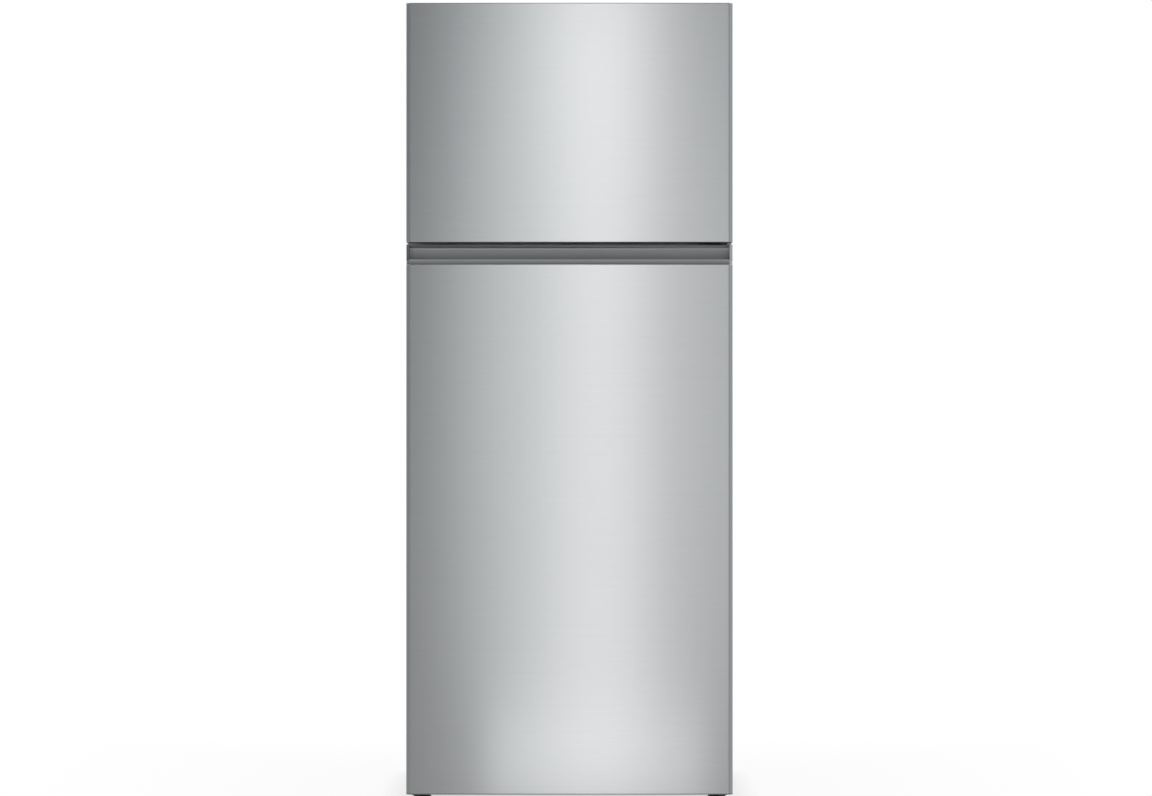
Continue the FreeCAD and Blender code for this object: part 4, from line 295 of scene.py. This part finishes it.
def handle_grey():
    """Grey moulding of the recessed handle, with painted shade and light from the lip up the scoop, and painted light
    that makes the right end paler.
    """
    moulded("handle_plastic", (0.352, 0.362, 0.374), 0.38, grain=2200.0, mottle=0.05, marks=0.08, depth=0.1)
    tree, where = own_place("handle_plastic")
    shader = tree.nodes["Principled BSDF"]
    lip = spread(tree, where["Z"], LIP_TOP - 0.0015, LIP_TOP + 0.0005, 1.0, 0.0)
    # Painted light: past x 0.3425 the right end is paled half way towards light grey.
    end = spread(tree, where["X"], 0.3425, 0.3435, 0.0, 1.0)
    # Painted shade and light: the colour is multiplied by the ramp of painted shade below, read by height.
    climb = spread(tree, where["Z"], 1.163, 1.205, 0.0, 1.0)
    ramp = place(tree, "ShaderNodeValToRGB", {0: climb})
    stops = ramp.color_ramp.elements
    while len(stops) < len(HANDLE_PAINTED_SHADE):
        stops.new(0.5)
    for stop, (position, shade) in zip(stops, HANDLE_PAINTED_SHADE):
        stop.position = position
        stop.color = (shade, shade, shade, 1)
    tone = shader.inputs["Base Color"].links[0].from_socket
    shine = shader.inputs["Roughness"].links[0].from_socket
    tone = blend_colour(tree, 1.0, tone, ramp.outputs[0], "MULTIPLY")
    tone = blend_colour(tree, calc(tree, "MULTIPLY", end, 0.5), tone, (0.62, 0.62, 0.62, 1))
    tree.links.new(tone, shader.inputs["Base Color"])
    tree.links.new(calc(tree, "ADD", shine, calc(tree, "MULTIPLY", lip, 0.14)), shader.inputs["Roughness"])


def toned(name, factor):
    """The material's colour times a factor that its own tree works out."""
    shader = MATERIALS[name].node_tree.nodes["Principled BSDF"]
    tree = MATERIALS[name].node_tree
    tone = shader.inputs["Base Color"].links[0].from_socket
    grey = place(tree, "ShaderNodeCombineColor", {0: factor, 1: factor, 2: factor}).outputs[0]
    tree.links.new(blend_colour(tree, 1.0, tone, grey, "MULTIPLY"), shader.inputs["Base Color"])


def own_place(name):
    """The material's object coordinates, one by one."""
    tree = MATERIALS[name].node_tree
    coords = next(n for n in tree.nodes if n.bl_idname == "ShaderNodeTexCoord")
    return tree, place(tree, "ShaderNodeSeparateXYZ", {0: coords.outputs["Object"]}).outputs


FOLD_X = 0.3416               # where the door front turns into its sloping band


def door_steel():
    """Brushed stainless steel of the door skins, with painted shade along the right-hand fold and along the bottom
    edge.
    """
    brushed_metal("stainless", (0.66, 0.672, 0.68), 0.33, 0.16, grip=0.8)
    tree, where = own_place("stainless")
    fold = calc(tree, "ABSOLUTE", calc(tree, "SUBTRACT", where["X"], FOLD_X))
    # Painted shade: a narrow darker band along the right-hand fold, dimming the highlight that its rounding catches.
    side = spread(tree, fold, 0.0008, 0.0026, 0.86, 1.0)
    # Painted shade: the lowest few millimetres of the doors are darkened, down to half at the bottom edge.
    foot = spread(tree, where["Z"], 0.0272, 0.0296, 0.5, 1.0)
    toned("stainless", calc(tree, "MULTIPLY", side, foot))


def end_cap_grey():
    """The two end caps of the handle: silver plastic, with painted shade that darkens it towards the left, open side.
    """
    moulded("silver_plastic", (0.42, 0.425, 0.43), 0.36, grain=2600.0, mottle=0.08, depth=0.08, metal=0.4)
    tree, where = own_place("silver_plastic")
    # Painted shade: the colour falls from full at x 0.2 to 0.3 at x -0.2 and beyond, so the left cap stays dark.
    toned("silver_plastic", spread(tree, where["X"], -0.2, 0.2, 0.3, 1.0))


def make_materials():
    door_steel()
    brushed_metal("hinge_steel", (0.55, 0.55, 0.55), 0.38, 0.2, pitch=2600.0, stretch=0.05, grip=0.3)
    brushed_metal("aluminium", (0.78, 0.785, 0.79), 0.35, 0.12, pitch=2400.0, stretch=0.02, grip=0.4)
    brushed_metal("copper", (0.72, 0.4, 0.26), 0.34, 0.2, pitch=1800.0, stretch=0.1, grip=0.2)
    moulded("cabinet_paint", (0.40, 0.405, 0.41), 0.42, grain=1300.0, mottle=0.03, depth=0.28, dust=0.25, metal=0.15,
            Coat_Weight=0.25, Coat_Roughness=0.25)
    spangled("galvanised", (0.5, 0.51, 0.52))
    moulded("black_metal", (0.012, 0.013, 0.014), 0.42, grain=1500.0, mottle=0.2, depth=0.2, dust=0.12)
    moulded("foam", (0.78, 0.7, 0.48), 0.85, grain=700.0, mottle=0.2, depth=0.6)
    moulded("white_liner", (0.85, 0.858, 0.855), 0.3, grain=260.0, mottle=0.012, marks=0.02, depth=0.012,
            Coat_Weight=0.1, Coat_Roughness=0.15)
    handle_grey()
    moulded("grey_plastic", (0.19, 0.195, 0.2), 0.42, grain=1800.0, mottle=0.05, depth=0.22, dust=0.15)
    end_cap_grey()
    moulded("seal_rubber", (0.33, 0.335, 0.34), 0.62, grain=1400.0, mottle=0.08, marks=0.12, depth=0.25)
    moulded("black_rubber", (0.018, 0.018, 0.018), 0.7, grain=1400.0, mottle=0.3, marks=0.15, depth=0.3)
    see_through("clear_plastic", (0.985, 0.992, 0.995), 0.06, grain=260.0, mottle=0.01, marks=0.06, depth=0.02,
            Transmission_Weight=0.92, IOR=1.49)
    moulded("white_plastic", (0.78, 0.785, 0.785), 0.34, grain=1500.0, mottle=0.015, depth=0.1)
    see_through("glass", (0.955, 0.985, 0.975), 0.02, grain=30.0, mottle=0.005, marks=0.03, depth=0.005,
            Transmission_Weight=1.0, IOR=1.52)
    see_through("frosted_lens", (0.93, 0.94, 0.93), 0.5, grain=2600.0, mottle=0.01, depth=0.3,
            Transmission_Weight=0.55, IOR=1.49)
    moulded("compressor_black", (0.012, 0.012, 0.013), 0.22, grain=500.0, mottle=0.3, marks=0.2, depth=0.15, dust=0.3,
            Coat_Weight=0.4)
    moulded("black_plastic", (0.022, 0.022, 0.024), 0.48, grain=1900.0, mottle=0.15, depth=0.3, dust=0.2)


# ------------------------------------------------------------------ pieces
def give(obj, slot):
    """The piece's one material, the one named after the record's slot."""
    obj.data.materials.clear()
    obj.data.materials.append(MATERIALS[slot])


def add_piece(name, mesh, body, slot, smooth=True, stands_for=()):
    made = bpy.data.objects.new(name, mesh)
    scene.collection.objects.link(made)
    if smooth:
        mesh.shade_smooth()
        mesh.set_sharp_from_angle(angle=math.radians(34))
    give(made, slot)
    if stands_for:
        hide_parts(*stands_for)
    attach(made, body)
    return made


def rounded_copy(node):
    """The node's own shape with its triangles joined, so that its curves shade smoothly."""
    work = bmesh.new()
    work.from_mesh(frame["nodes"][node].data)
    bmesh.ops.remove_doubles(work, verts=work.verts, dist=2e-6)
    mesh = bpy.data.meshes.new(node + "_surface")
    work.to_mesh(mesh)
    work.free()
    if mesh.has_custom_normals:
        mesh.normals_split_custom_set([(0, 0, 0)] * len(mesh.loops))
    mesh.shade_smooth()
    mesh.set_sharp_from_angle(angle=math.radians(34))
    shown = bpy.data.objects.new(node + "_surface", mesh)
    scene.collection.objects.link(shown)
    weigh = shown.modifiers.new("flats stay flat", "WEIGHTED_NORMAL")
    weigh.keep_sharp = True
    weigh.weight = 100
    ready = shown.evaluated_get(bpy.context.evaluated_depsgraph_get())
    final = bpy.data.meshes.new_from_object(ready)
    shown.modifiers.clear()
    shown.data = final
    bpy.data.meshes.remove(mesh)
    final.name = node + "_surface"
    give(shown, SLOT_OF[node])
    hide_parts(node)
    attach(shown, BODY_OF[node])
    return shown


CURVED = [
    "cabinet_wrapper", "fridge_liner", "freezer_liner", "freezer_door_skin", "freezer_door_liner", "freezer_door_caps",
    "fridge_door_skin", "fridge_door_liner", "handle_trim", "handle_end_caps", "fridge_door_cap", "fridge_door_bins",
    "freezer_door_bins", "dairy_lid", "top_hinge", "hinge_cover", "middle_hinge", "bottom_hinge", "base_brackets",
    "levelling_foot_left", "levelling_foot_right", "rear_roller_left", "rear_roller_right", "crisper_left",
    "crisper_right", "ice_bin", "shelves", "shelf_trims", "crisper_frame", "air_duct_cover", "control_housing",
    "temperature_knob", "lamp_lens", "evaporator_cover", "evaporator_fan", "fan_motor", "ice_tray_left",
    "ice_tray_right", "compressor", "refrigerant_tubes", "evaporation_tray", "cord_gland", "freezer_shelf",
    "airflow_slider", "humidity_slider", "evaporator", "defrost_heater", "compressor_grommets",
]


def dress_nodes():
    for node, shown in frame["nodes"].items():
        give(shown, SLOT_OF[node])
    for node in CURVED:
        rounded_copy(node)


# ------------------------------------------------------------------ door seals and back panel
SEAL_SECTION = (              # inwards from the outer edge, and out from the door, in mm
    (0.0, 0.0), (0.0, 2.3), (0.6, 3.0), (2.9, 3.2), (2.9, 3.9), (1.2, 4.7), (0.6, 5.6), (0.6, 8.5), (0.9, 9.1),
    (1.6, 9.4), (3.6, 9.4), (4.0, 8.9), (4.4, 9.4), (6.6, 9.4), (7.0, 8.9), (7.4, 9.4), (9.6, 9.4), (10.0, 8.9),
    (10.4, 9.4), (12.4, 9.4), (13.1, 9.1), (13.4, 8.5), (13.4, 5.6), (12.8, 4.7), (11.1, 3.9), (11.1, 3.2),
    (13.4, 3.0), (14.0, 2.3), (14.0, 0.0),
)


def seal_bellows(node):
    """The bellows seal: its section carried round the door with mitred corners."""
    low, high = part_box(node)
    work = bmesh.new()
    rings = []
    for inward, out in SEAL_SECTION:
        inward, depth = inward * MM, low[1] + out * MM
        corners = ((low[0] + inward, low[2] + inward), (high[0] - inward, low[2] + inward),
                   (high[0] - inward, high[2] - inward), (low[0] + inward, high[2] - inward))
        rings.append([work.verts.new((x, depth, z)) for x, z in corners])
    for n, ring in enumerate(rings):
        following = rings[(n + 1) % len(rings)]
        for k in range(4):
            work.faces.new((ring[k], ring[(k + 1) % 4], following[(k + 1) % 4], following[k]))
    bmesh.ops.recalc_face_normals(work, faces=work.faces)
    mesh = bpy.data.meshes.new(node + "_bellows")
    work.to_mesh(mesh)
    work.free()
    return add_piece(node + "_bellows", mesh, BODY_OF[node], "seal_rubber", stands_for=(node,))


BEAD_DEPTH = 0.7 * MM
BEAD_HALF = 8.0 * MM
BEAD_SPACING = 0.116
BEAD_MARGIN = 0.09


def stiffened_back():
    """The back sheet with its long pressed beads."""
    low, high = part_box("back_panel")
    count = 5
    centres = [BEAD_SPACING * (n - (count - 1) / 2) for n in range(count)]
    across = {low[0], high[0]}
    for middle in centres:
        across.update(middle + BEAD_HALF * step / 4 for step in range(-5, 6))
    ends = (low[2] + BEAD_MARGIN, high[2] - BEAD_MARGIN)
    upward = {low[2], high[2]}
    for end, turn in zip(ends, (1, -1)):
        upward.update(end + turn * BEAD_HALF * step / 2 for step in range(0, 4))
    columns, rows = sorted(across), sorted(upward)

    def depth(x, z):
        near = max(0.0, 1.0 - min(abs(x - middle) for middle in centres) / BEAD_HALF)
        along = min(1.0, max(0.0, min(z - ends[0], ends[1] - z) / BEAD_HALF))
        reach = near * along
        return BEAD_DEPTH * reach * reach * (3 - 2 * reach)

    work = bmesh.new()
    grid = [[work.verts.new((x, high[1] - depth(x, z), z)) for x in columns] for z in rows]
    for lower, upper in zip(grid, grid[1:]):
        for n in range(len(columns) - 1):
            work.faces.new((lower[n + 1], lower[n], upper[n], upper[n + 1]))
    rim = grid[0] + [row[-1] for row in grid[1:]] + grid[-1][-2::-1] + [row[0] for row in grid[-2:0:-1]]
    inner = [work.verts.new((v.co.x, low[1], v.co.z)) for v in rim]
    for n in range(len(rim)):
        after = (n + 1) % len(rim)
        work.faces.new((rim[n], rim[after], inner[after], inner[n]))
    work.faces.new(inner)
    bmesh.ops.recalc_face_normals(work, faces=work.faces)
    mesh = bpy.data.meshes.new("back_panel_beaded")
    work.to_mesh(mesh)
    work.free()
    return add_piece("back_panel_beaded", mesh, BODY_OF["back_panel"], "galvanised", stands_for=("back_panel",))


# ------------------------------------------------------------------ repeated details
def geometry_tree(name, inputs):
    """An empty geometry tree with named inputs: the tree, its input sockets and its last socket."""
    tree = bpy.data.node_groups.new(name, "GeometryNodeTree")
    tree.interface.new_socket("Geometry", in_out="INPUT", socket_type="NodeSocketGeometry")
    for label, value in inputs.items():
        socket = tree.interface.new_socket(label, in_out="INPUT", socket_type="NodeSocketFloat")
        socket.default_value = value
    tree.interface.new_socket("Material", in_out="INPUT", socket_type="NodeSocketMaterial")
    tree.interface.new_socket("Geometry", in_out="OUTPUT", socket_type="NodeSocketGeometry")
    return tree, tree.nodes.new("NodeGroupInput").outputs, tree.nodes.new("NodeGroupOutput").inputs[0]


def triple(tree, x, y, z):
    return place(tree, "ShaderNodeCombineXYZ", {0: x, 1: y, 2: z}).outputs[0]


def moved(tree, shape, spot=(0, 0, 0), scale=(1, 1, 1)):
    return place(tree, "GeometryNodeTransform", {"Geometry": shape, "Translation": spot, "Scale": scale}).outputs[0]


def cuboid(tree, size, spot):
    return moved(tree, place(tree, "GeometryNodeMeshCube", {"Size": size}).outputs["Mesh"], spot)


def cut_away(tree, shape, *tools):
    made = place(tree, "GeometryNodeMeshBoolean", operation="DIFFERENCE", solver="EXACT")
    tree.links.new(shape, made.inputs["Mesh 1"])
    for tool in tools:
        tree.links.new(tool, made.inputs["Mesh 2"])
    return made.outputs["Mesh"]


def set_out(tree, given, out, shape):
    """The shape at every point of the host, turned to the point's aim and stretched by its size."""
    aim = place(tree, "GeometryNodeInputNamedAttribute", {"Name": "aim"}, data_type="FLOAT_VECTOR")
    size = place(tree, "GeometryNodeInputNamedAttribute", {"Name": "size"}, data_type="FLOAT_VECTOR")
    turn = place(tree, "FunctionNodeAlignRotationToVector", {"Vector": aim.outputs["Attribute"]}, axis="Z")
    many = place(tree, "GeometryNodeInstanceOnPoints", {
        "Points": given["Geometry"], "Instance": shape, "Rotation": turn.outputs[0],
        "Scale": size.outputs["Attribute"]}).outputs[0]
    real = place(tree, "GeometryNodeRealizeInstances", {0: many}).outputs[0]
    done = place(tree, "GeometryNodeSetMaterial", {"Geometry": real, "Material": given["Material"]}).outputs[0]
    tree.links.new(done, out)
    return tree


def screw_tree():
    """A pan head with a cross recess on its shank."""
    tree, given, out = geometry_tree("pan head screws", {
        "Head radius": 0.005, "Head height": 0.003, "Shank radius": 0.0025, "Shank length": 0.012,
        "Recess width": 0.0011})
    radius, height, width = given["Head radius"], given["Head height"], given["Recess width"]
    ball = place(tree, "GeometryNodeMeshUVSphere", {"Segments": 28, "Rings": 14, "Radius": 1.0}).outputs["Mesh"]
    dome = moved(tree, ball, scale=triple(tree, radius, radius, height))
    wide = calc(tree, "MULTIPLY", radius, 4.0)
    under = cuboid(tree, triple(tree, wide, wide, wide), triple(tree, 0.0, 0.0, calc(tree, "MULTIPLY", wide, -0.5)))
    long = calc(tree, "MULTIPLY", radius, 1.1)
    level = triple(tree, 0.0, 0.0, height)
    bars = [cuboid(tree, triple(tree, long, width, height), level),
            cuboid(tree, triple(tree, width, long, height), level)]
    head = cut_away(tree, cut_away(tree, dome, under), *bars)
    shank = place(tree, "GeometryNodeMeshCylinder", {
        "Vertices": 16, "Radius": given["Shank radius"], "Depth": given["Shank length"]}).outputs["Mesh"]
    shank = moved(tree, shank, triple(tree, 0.0, 0.0, calc(tree, "MULTIPLY", given["Shank length"], -0.5)))
    both = place(tree, "GeometryNodeJoinGeometry")
    tree.links.new(head, both.inputs[0])
    tree.links.new(shank, both.inputs[0])
    return set_out(tree, given, out, both.outputs[0])


def flute_tree():
    """A slim raised bar with its corners taken off."""
    tree, given, out = geometry_tree("raised bars", {"Width": 0.002, "Length": 1.0, "Rise": 0.001})
    width, length, rise = given["Width"], given["Length"], given["Rise"]
    rod = place(tree, "GeometryNodeMeshCylinder", {"Vertices": 12, "Radius": 0.5, "Depth": 1.0}).outputs["Mesh"]
    wide = calc(tree, "MULTIPLY", rise, 2.0)
    return set_out(tree, given, out, moved(tree, rod, scale=triple(tree, width, wide, length)))


def host_points(name, spots):
    """Points that carry an aim and a size for what stands on them."""
    mesh = bpy.data.meshes.new(name)
    mesh.from_pydata([spot for spot, aim, size in spots], [], [])
    for label, column in (("aim", 1), ("size", 2)):
        values = mesh.attributes.new(label, "FLOAT_VECTOR", "POINT")
        for n, entry in enumerate(spots):
            values.data[n].vector = entry[column]
    return mesh


def grown(name, tree, spots, values, body, slot, stands_for=()):
    """What the tree makes on the points, as one plain mesh that rides on the body."""
    host = host_points(name + "_points", spots)
    shown = bpy.data.objects.new(name, host)
    scene.collection.objects.link(shown)
    build = shown.modifiers.new("build", "NODES")
    build.node_group = tree
    values = dict(values, Material=MATERIALS[slot])
    for item in tree.interface.items_tree:
        if item.in_out == "INPUT" and item.name in values:
            build[item.identifier] = values[item.name]
    ready = shown.evaluated_get(bpy.context.evaluated_depsgraph_get())
    final = bpy.data.meshes.new_from_object(ready)
    shown.modifiers.clear()
    bpy.data.objects.remove(shown)
    bpy.data.meshes.remove(host)
    for label in ("aim", "size"):
        if label in final.attributes:
            final.attributes.remove(final.attributes[label])
    return add_piece(name, final, body, slot, stands_for=stands_for)


def islands(node):
    """The low and high corners of each separate solid of a node."""
    work = bmesh.new()
    work.from_mesh(frame["nodes"][node].data)
    bmesh.ops.remove_doubles(work, verts=work.verts, dist=2e-6)
    seen, found = set(), []
    for start in work.verts:
        if start in seen:
            continue
        seen.add(start)
        group, queue = [], [start]
        while queue:
            vert = queue.pop()
            group.append(vert.co.copy())
            for edge in vert.link_edges:
                other = edge.other_vert(vert)
                if other not in seen:
                    seen.add(other)
                    queue.append(other)
        found.append((Vector(min(c[k] for c in group) for k in range(3)),
                      Vector(max(c[k] for c in group) for k in range(3))))
    work.free()
    return found


HEAD_HEIGHT = 0.003
COVER_SCREW_HEAD = 0.0042


def hinge_screw_spots():
    """A point under the head of each hinge and bracket screw."""
    spots = []
    for low, high in islands("hinge_screws"):
        middle = (low + high) / 2
        if high.z - low.z > high.y - low.y:
            if middle.z > 1.0:
                spots.append(((middle.x, middle.y, high.z - HEAD_HEIGHT), (0, 0, 1), (1, 1, 1)))
            else:
                spots.append(((middle.x, middle.y, low.z + HEAD_HEIGHT), (0, 0, -1), (1, 1, 1)))
        else:
            spots.append(((middle.x, low.y + HEAD_HEIGHT, middle.z), (0, -1, 0), (1, 1, 1)))
    return spots


def cover_screw_spots():
    """Points round the edge of the rear machine cover."""
    low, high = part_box("compressor_cover")
    places = [(x, z) for x in (low[0] + 0.012, -0.12, 0.12, high[0] - 0.012) for z in (low[2] + 0.012, high[2] - 0.014)]
    return [((x, high[1], z), (0, 1, 0), (1, 1, 1)) for x, z in places]


def bin_flute_spots(node):
    """Upright flutes across the lower front of each door bin."""
    spots = []
    for low, high in islands(node):
        front, tall = high.y - 0.003, (high.z - low.z) * 0.52
        level = low.z + 0.012 + tall / 2
        count = 30
        reach = (high.x - low.x) / 2 - 0.04
        for n in range(count):
            x = -reach + 2 * reach * n / (count - 1)
            spots.append(((x, front, level), (0, 0, 1), (1, 1, tall)))
    return spots


def dial_mark_spots():
    """Short marks round the temperature dial, longer at the ends and in the middle."""
    low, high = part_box("temperature_knob")
    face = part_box("control_housing")[0][1]
    middle = Vector((0.0, face, (low[2] + high[2]) / 2))
    spots = []
    for n in range(11):
        turn = math.radians(-100 + 20 * n)
        out = Vector((math.sin(turn), 0, math.cos(turn)))
        reach = 0.0016 if n % 5 == 0 else 0.001
        spots.append((middle + out * 0.0148, out, (1, 1, reach)))
    return spots


def add_details():
    for node in ("freezer_door_seal", "fridge_door_seal"):
        seal_bellows(node)
    stiffened_back()
    screws, bars = screw_tree(), flute_tree()
    grown("hinge_screw_heads", screws, hinge_screw_spots(), {}, "cabinet", "hinge_steel", ("hinge_screws",))
    grown("cover_screw_heads", screws, cover_screw_spots(),
          {"Head radius": COVER_SCREW_HEAD, "Head height": 0.0024, "Shank radius": 0.0018, "Shank length": 0.009},
          "cabinet", "hinge_steel")
    grown("fridge_bin_flutes", bars, bin_flute_spots("fridge_door_bins"), {"Width": 0.004, "Rise": 0.0008},
          "fridge_door", "clear_plastic")
    grown("freezer_bin_flutes", bars, bin_flute_spots("freezer_door_bins"), {"Width": 0.004, "Rise": 0.0008},
          "freezer_door", "clear_plastic")
    grown("dial_marks", bars, dial_mark_spots(), {"Width": 0.0006, "Rise": 0.0002}, "cabinet", "grey_plastic")


# ------------------------------------------------------------------ room, light, camera
def make_room():
    bpy.ops.mesh.primitive_plane_add(size=30.0, location=(0, 0, 0))
    floor = bpy.context.object
    floor.name = "floor"
    paper = bpy.data.materials.new("pale_floor")
    paper.use_nodes = True
    tree = paper.node_tree
    shader = tree.nodes["Principled BSDF"]
    coords = tree.nodes.new("ShaderNodeTexCoord")
    slow = noise(tree, coords.outputs["Object"], 1.2, 3.0, 0.5)
    shade = blend_colour(tree, slow, (0.80, 0.80, 0.80, 1), (0.84, 0.84, 0.84, 1))
    tree.links.new(shade, shader.inputs["Base Color"])
    shader.inputs["Roughness"].default_value = 0.6
    glow = place(tree, "ShaderNodeEmission", {"Color": (1, 1, 1, 1), "Strength": 1.0})
    path = tree.nodes.new("ShaderNodeLightPath")
    spot = place(tree, "ShaderNodeSeparateXYZ", {0: coords.outputs["Object"]}).outputs
    beside = calc(tree, "SUBTRACT", calc(tree, "ABSOLUTE", spot["X"]), cad_box[1][0])
    beyond = calc(tree, "SUBTRACT", calc(tree, "ABSOLUTE", spot["Y"]), cad_box[1][1])
    away = calc(tree, "MAXIMUM", beside, beyond)
    pale = calc(tree, "ADD", spread(tree, away, -0.01, 0.07, 0.6, 0.9), spread(tree, away, 0.07, 1.0, 0.0, 0.1))
    share = calc(tree, "MULTIPLY", path.outputs["Is Camera Ray"], pale)
    mirrored = place(tree, "ShaderNodeEmission", {"Color": (1, 1, 1, 1), "Strength": FLOOR_IN_STEEL})
    seen = place(tree, "ShaderNodeMixShader", {0: path.outputs["Is Glossy Ray"], 1: shader.outputs[0],
                                               2: mirrored.outputs[0]})
    mixed = place(tree, "ShaderNodeMixShader", {0: share, 1: seen.outputs[0], 2: glow.outputs[0]})
    tree.links.new(mixed.outputs[0], tree.nodes["Material Output"].inputs["Surface"])
    floor.data.materials.append(paper)

    world = bpy.data.worlds.new("studio")
    scene.world = world
    world.use_nodes = True
    tree = world.node_tree
    tree.nodes.clear()
    path = tree.nodes.new("ShaderNodeLightPath")
    heading = place(tree, "ShaderNodeSeparateXYZ", {0: tree.nodes.new("ShaderNodeTexCoord").outputs["Generated"]})
    ahead = spread(tree, heading.outputs["Y"], -0.3, 0.3, ROOM_FRONT, ROOM_BACK)
    leftward = spread(tree, heading.outputs["X"], -0.8, -0.4, ROOM_LEFT, 0.0)
    rightward = spread(tree, heading.outputs["X"], 0.4, 0.8, 0.0, ROOM_RIGHT)
    ahead = calc(tree, "ADD", ahead, calc(tree, "ADD", leftward, rightward))
    soft = place(tree, "ShaderNodeBackground", {"Color": (0.905, 0.972, 1.04, 1), "Strength": ahead})
    plain = place(tree, "ShaderNodeBackground", {"Color": (1, 1, 1, 1), "Strength": ROOM_DIFFUSE})
    white = place(tree, "ShaderNodeBackground", {"Color": (1, 1, 1, 1), "Strength": 1.0})
    lit = place(tree, "ShaderNodeMixShader", {0: path.outputs["Is Glossy Ray"], 1: plain.outputs[0],
                                              2: soft.outputs[0]})
    seen = calc(tree, "MAXIMUM", path.outputs["Is Camera Ray"], path.outputs["Is Transmission Ray"])
    whole = place(tree, "ShaderNodeMixShader", {0: seen, 1: lit.outputs[0], 2: white.outputs[0]})
    end = tree.nodes.new("ShaderNodeOutputWorld")
    tree.links.new(whole.outputs[0], end.inputs["Surface"])


ROOM_FRONT = 0.123
ROOM_BACK = 0.9
ROOM_LEFT = 0.08
ROOM_RIGHT = 0.36
ROOM_DIFFUSE = 0.8
FLOOR_IN_STEEL = 0.38


def softbox(name, spot, target, width, height, power, tint=(1, 1, 1)):
    lamp = bpy.data.lights.new(name, "AREA")
    lamp.shape = "RECTANGLE"
    lamp.size = width
    lamp.size_y = height
    lamp.energy = power
    lamp.color = tint
    made = bpy.data.objects.new(name, lamp)
    scene.collection.objects.link(made)
    made.location = spot
    made.rotation_euler = (Vector(target) - Vector(spot)).to_track_quat("-Z", "Y").to_euler()
    return made


def make_lights():
    """Tall softboxes in front of the doors, one behind the other, with short ones that lift their ends."""
    middle = (cad_box[1][2] + cad_box[0][2]) / 2
    for name, x, y, z, width, height, power, tint in (
        ("tall_softbox", 0.10, -1.95, middle, 0.20, 2.6, 2.33, (1.02, 1.0, 0.985)),
        ("left_softbox", -0.15, -1.97, middle, 0.30, 2.6, 1.63, (0.97, 1.0, 0.995)),
        ("right_softbox", 0.42, -1.93, middle, 0.30, 2.6, 1.29, (0.985, 1.0, 0.995)),
        ("upper_softbox", 0.05, -1.99, 1.95, 0.35, 0.5, 0.60, (1.0, 1.0, 1.0)),
        ("lower_softbox", 0.05, -1.91, 0.09, 0.34, 0.16, 0.25, (1.0, 1.0, 1.0)),
        ("toe_softbox", 0.06, -0.85, 0.055, 0.50, 0.09, 0.175, (1.0, 1.0, 1.0)),
    ):
        made = softbox(name, (x, y, z), (x, 0.0, z), width, height, power, tint)
        made.visible_diffuse = False
    fill = softbox("front_fill", (1.2, -6.5, 2.4), (0.0, 0.0, 0.9), 4.0, 3.0, 85.0)
    fill.visible_glossy = False
    ceiling = softbox("ceiling_panel", (0.0, -0.4, 3.6), (0.0, 0.0, 0.0), 2.6, 2.6, 12.0)
    ceiling.visible_glossy = False


CAMERA_DISTANCE = 8.0
FRAME_WIDTH = 2.4684          # metres across the view, at the doors


def make_camera():
    data = bpy.data.cameras.new("camera")
    data.sensor_width = 36.0
    data.lens = 36.0 * CAMERA_DISTANCE / FRAME_WIDTH
    made = bpy.data.objects.new("camera", data)
    scene.collection.objects.link(made)
    front = cad_box[0][1]
    made.location = (0.014, front - CAMERA_DISTANCE, 0.876)
    made.rotation_euler = (math.radians(90), 0, 0)
    data.clip_end = 100.0
    scene.camera = made


make_materials()
dress_nodes()
add_details()
make_room()
make_lights()
make_camera()
scene.view_settings.view_transform = "Standard"
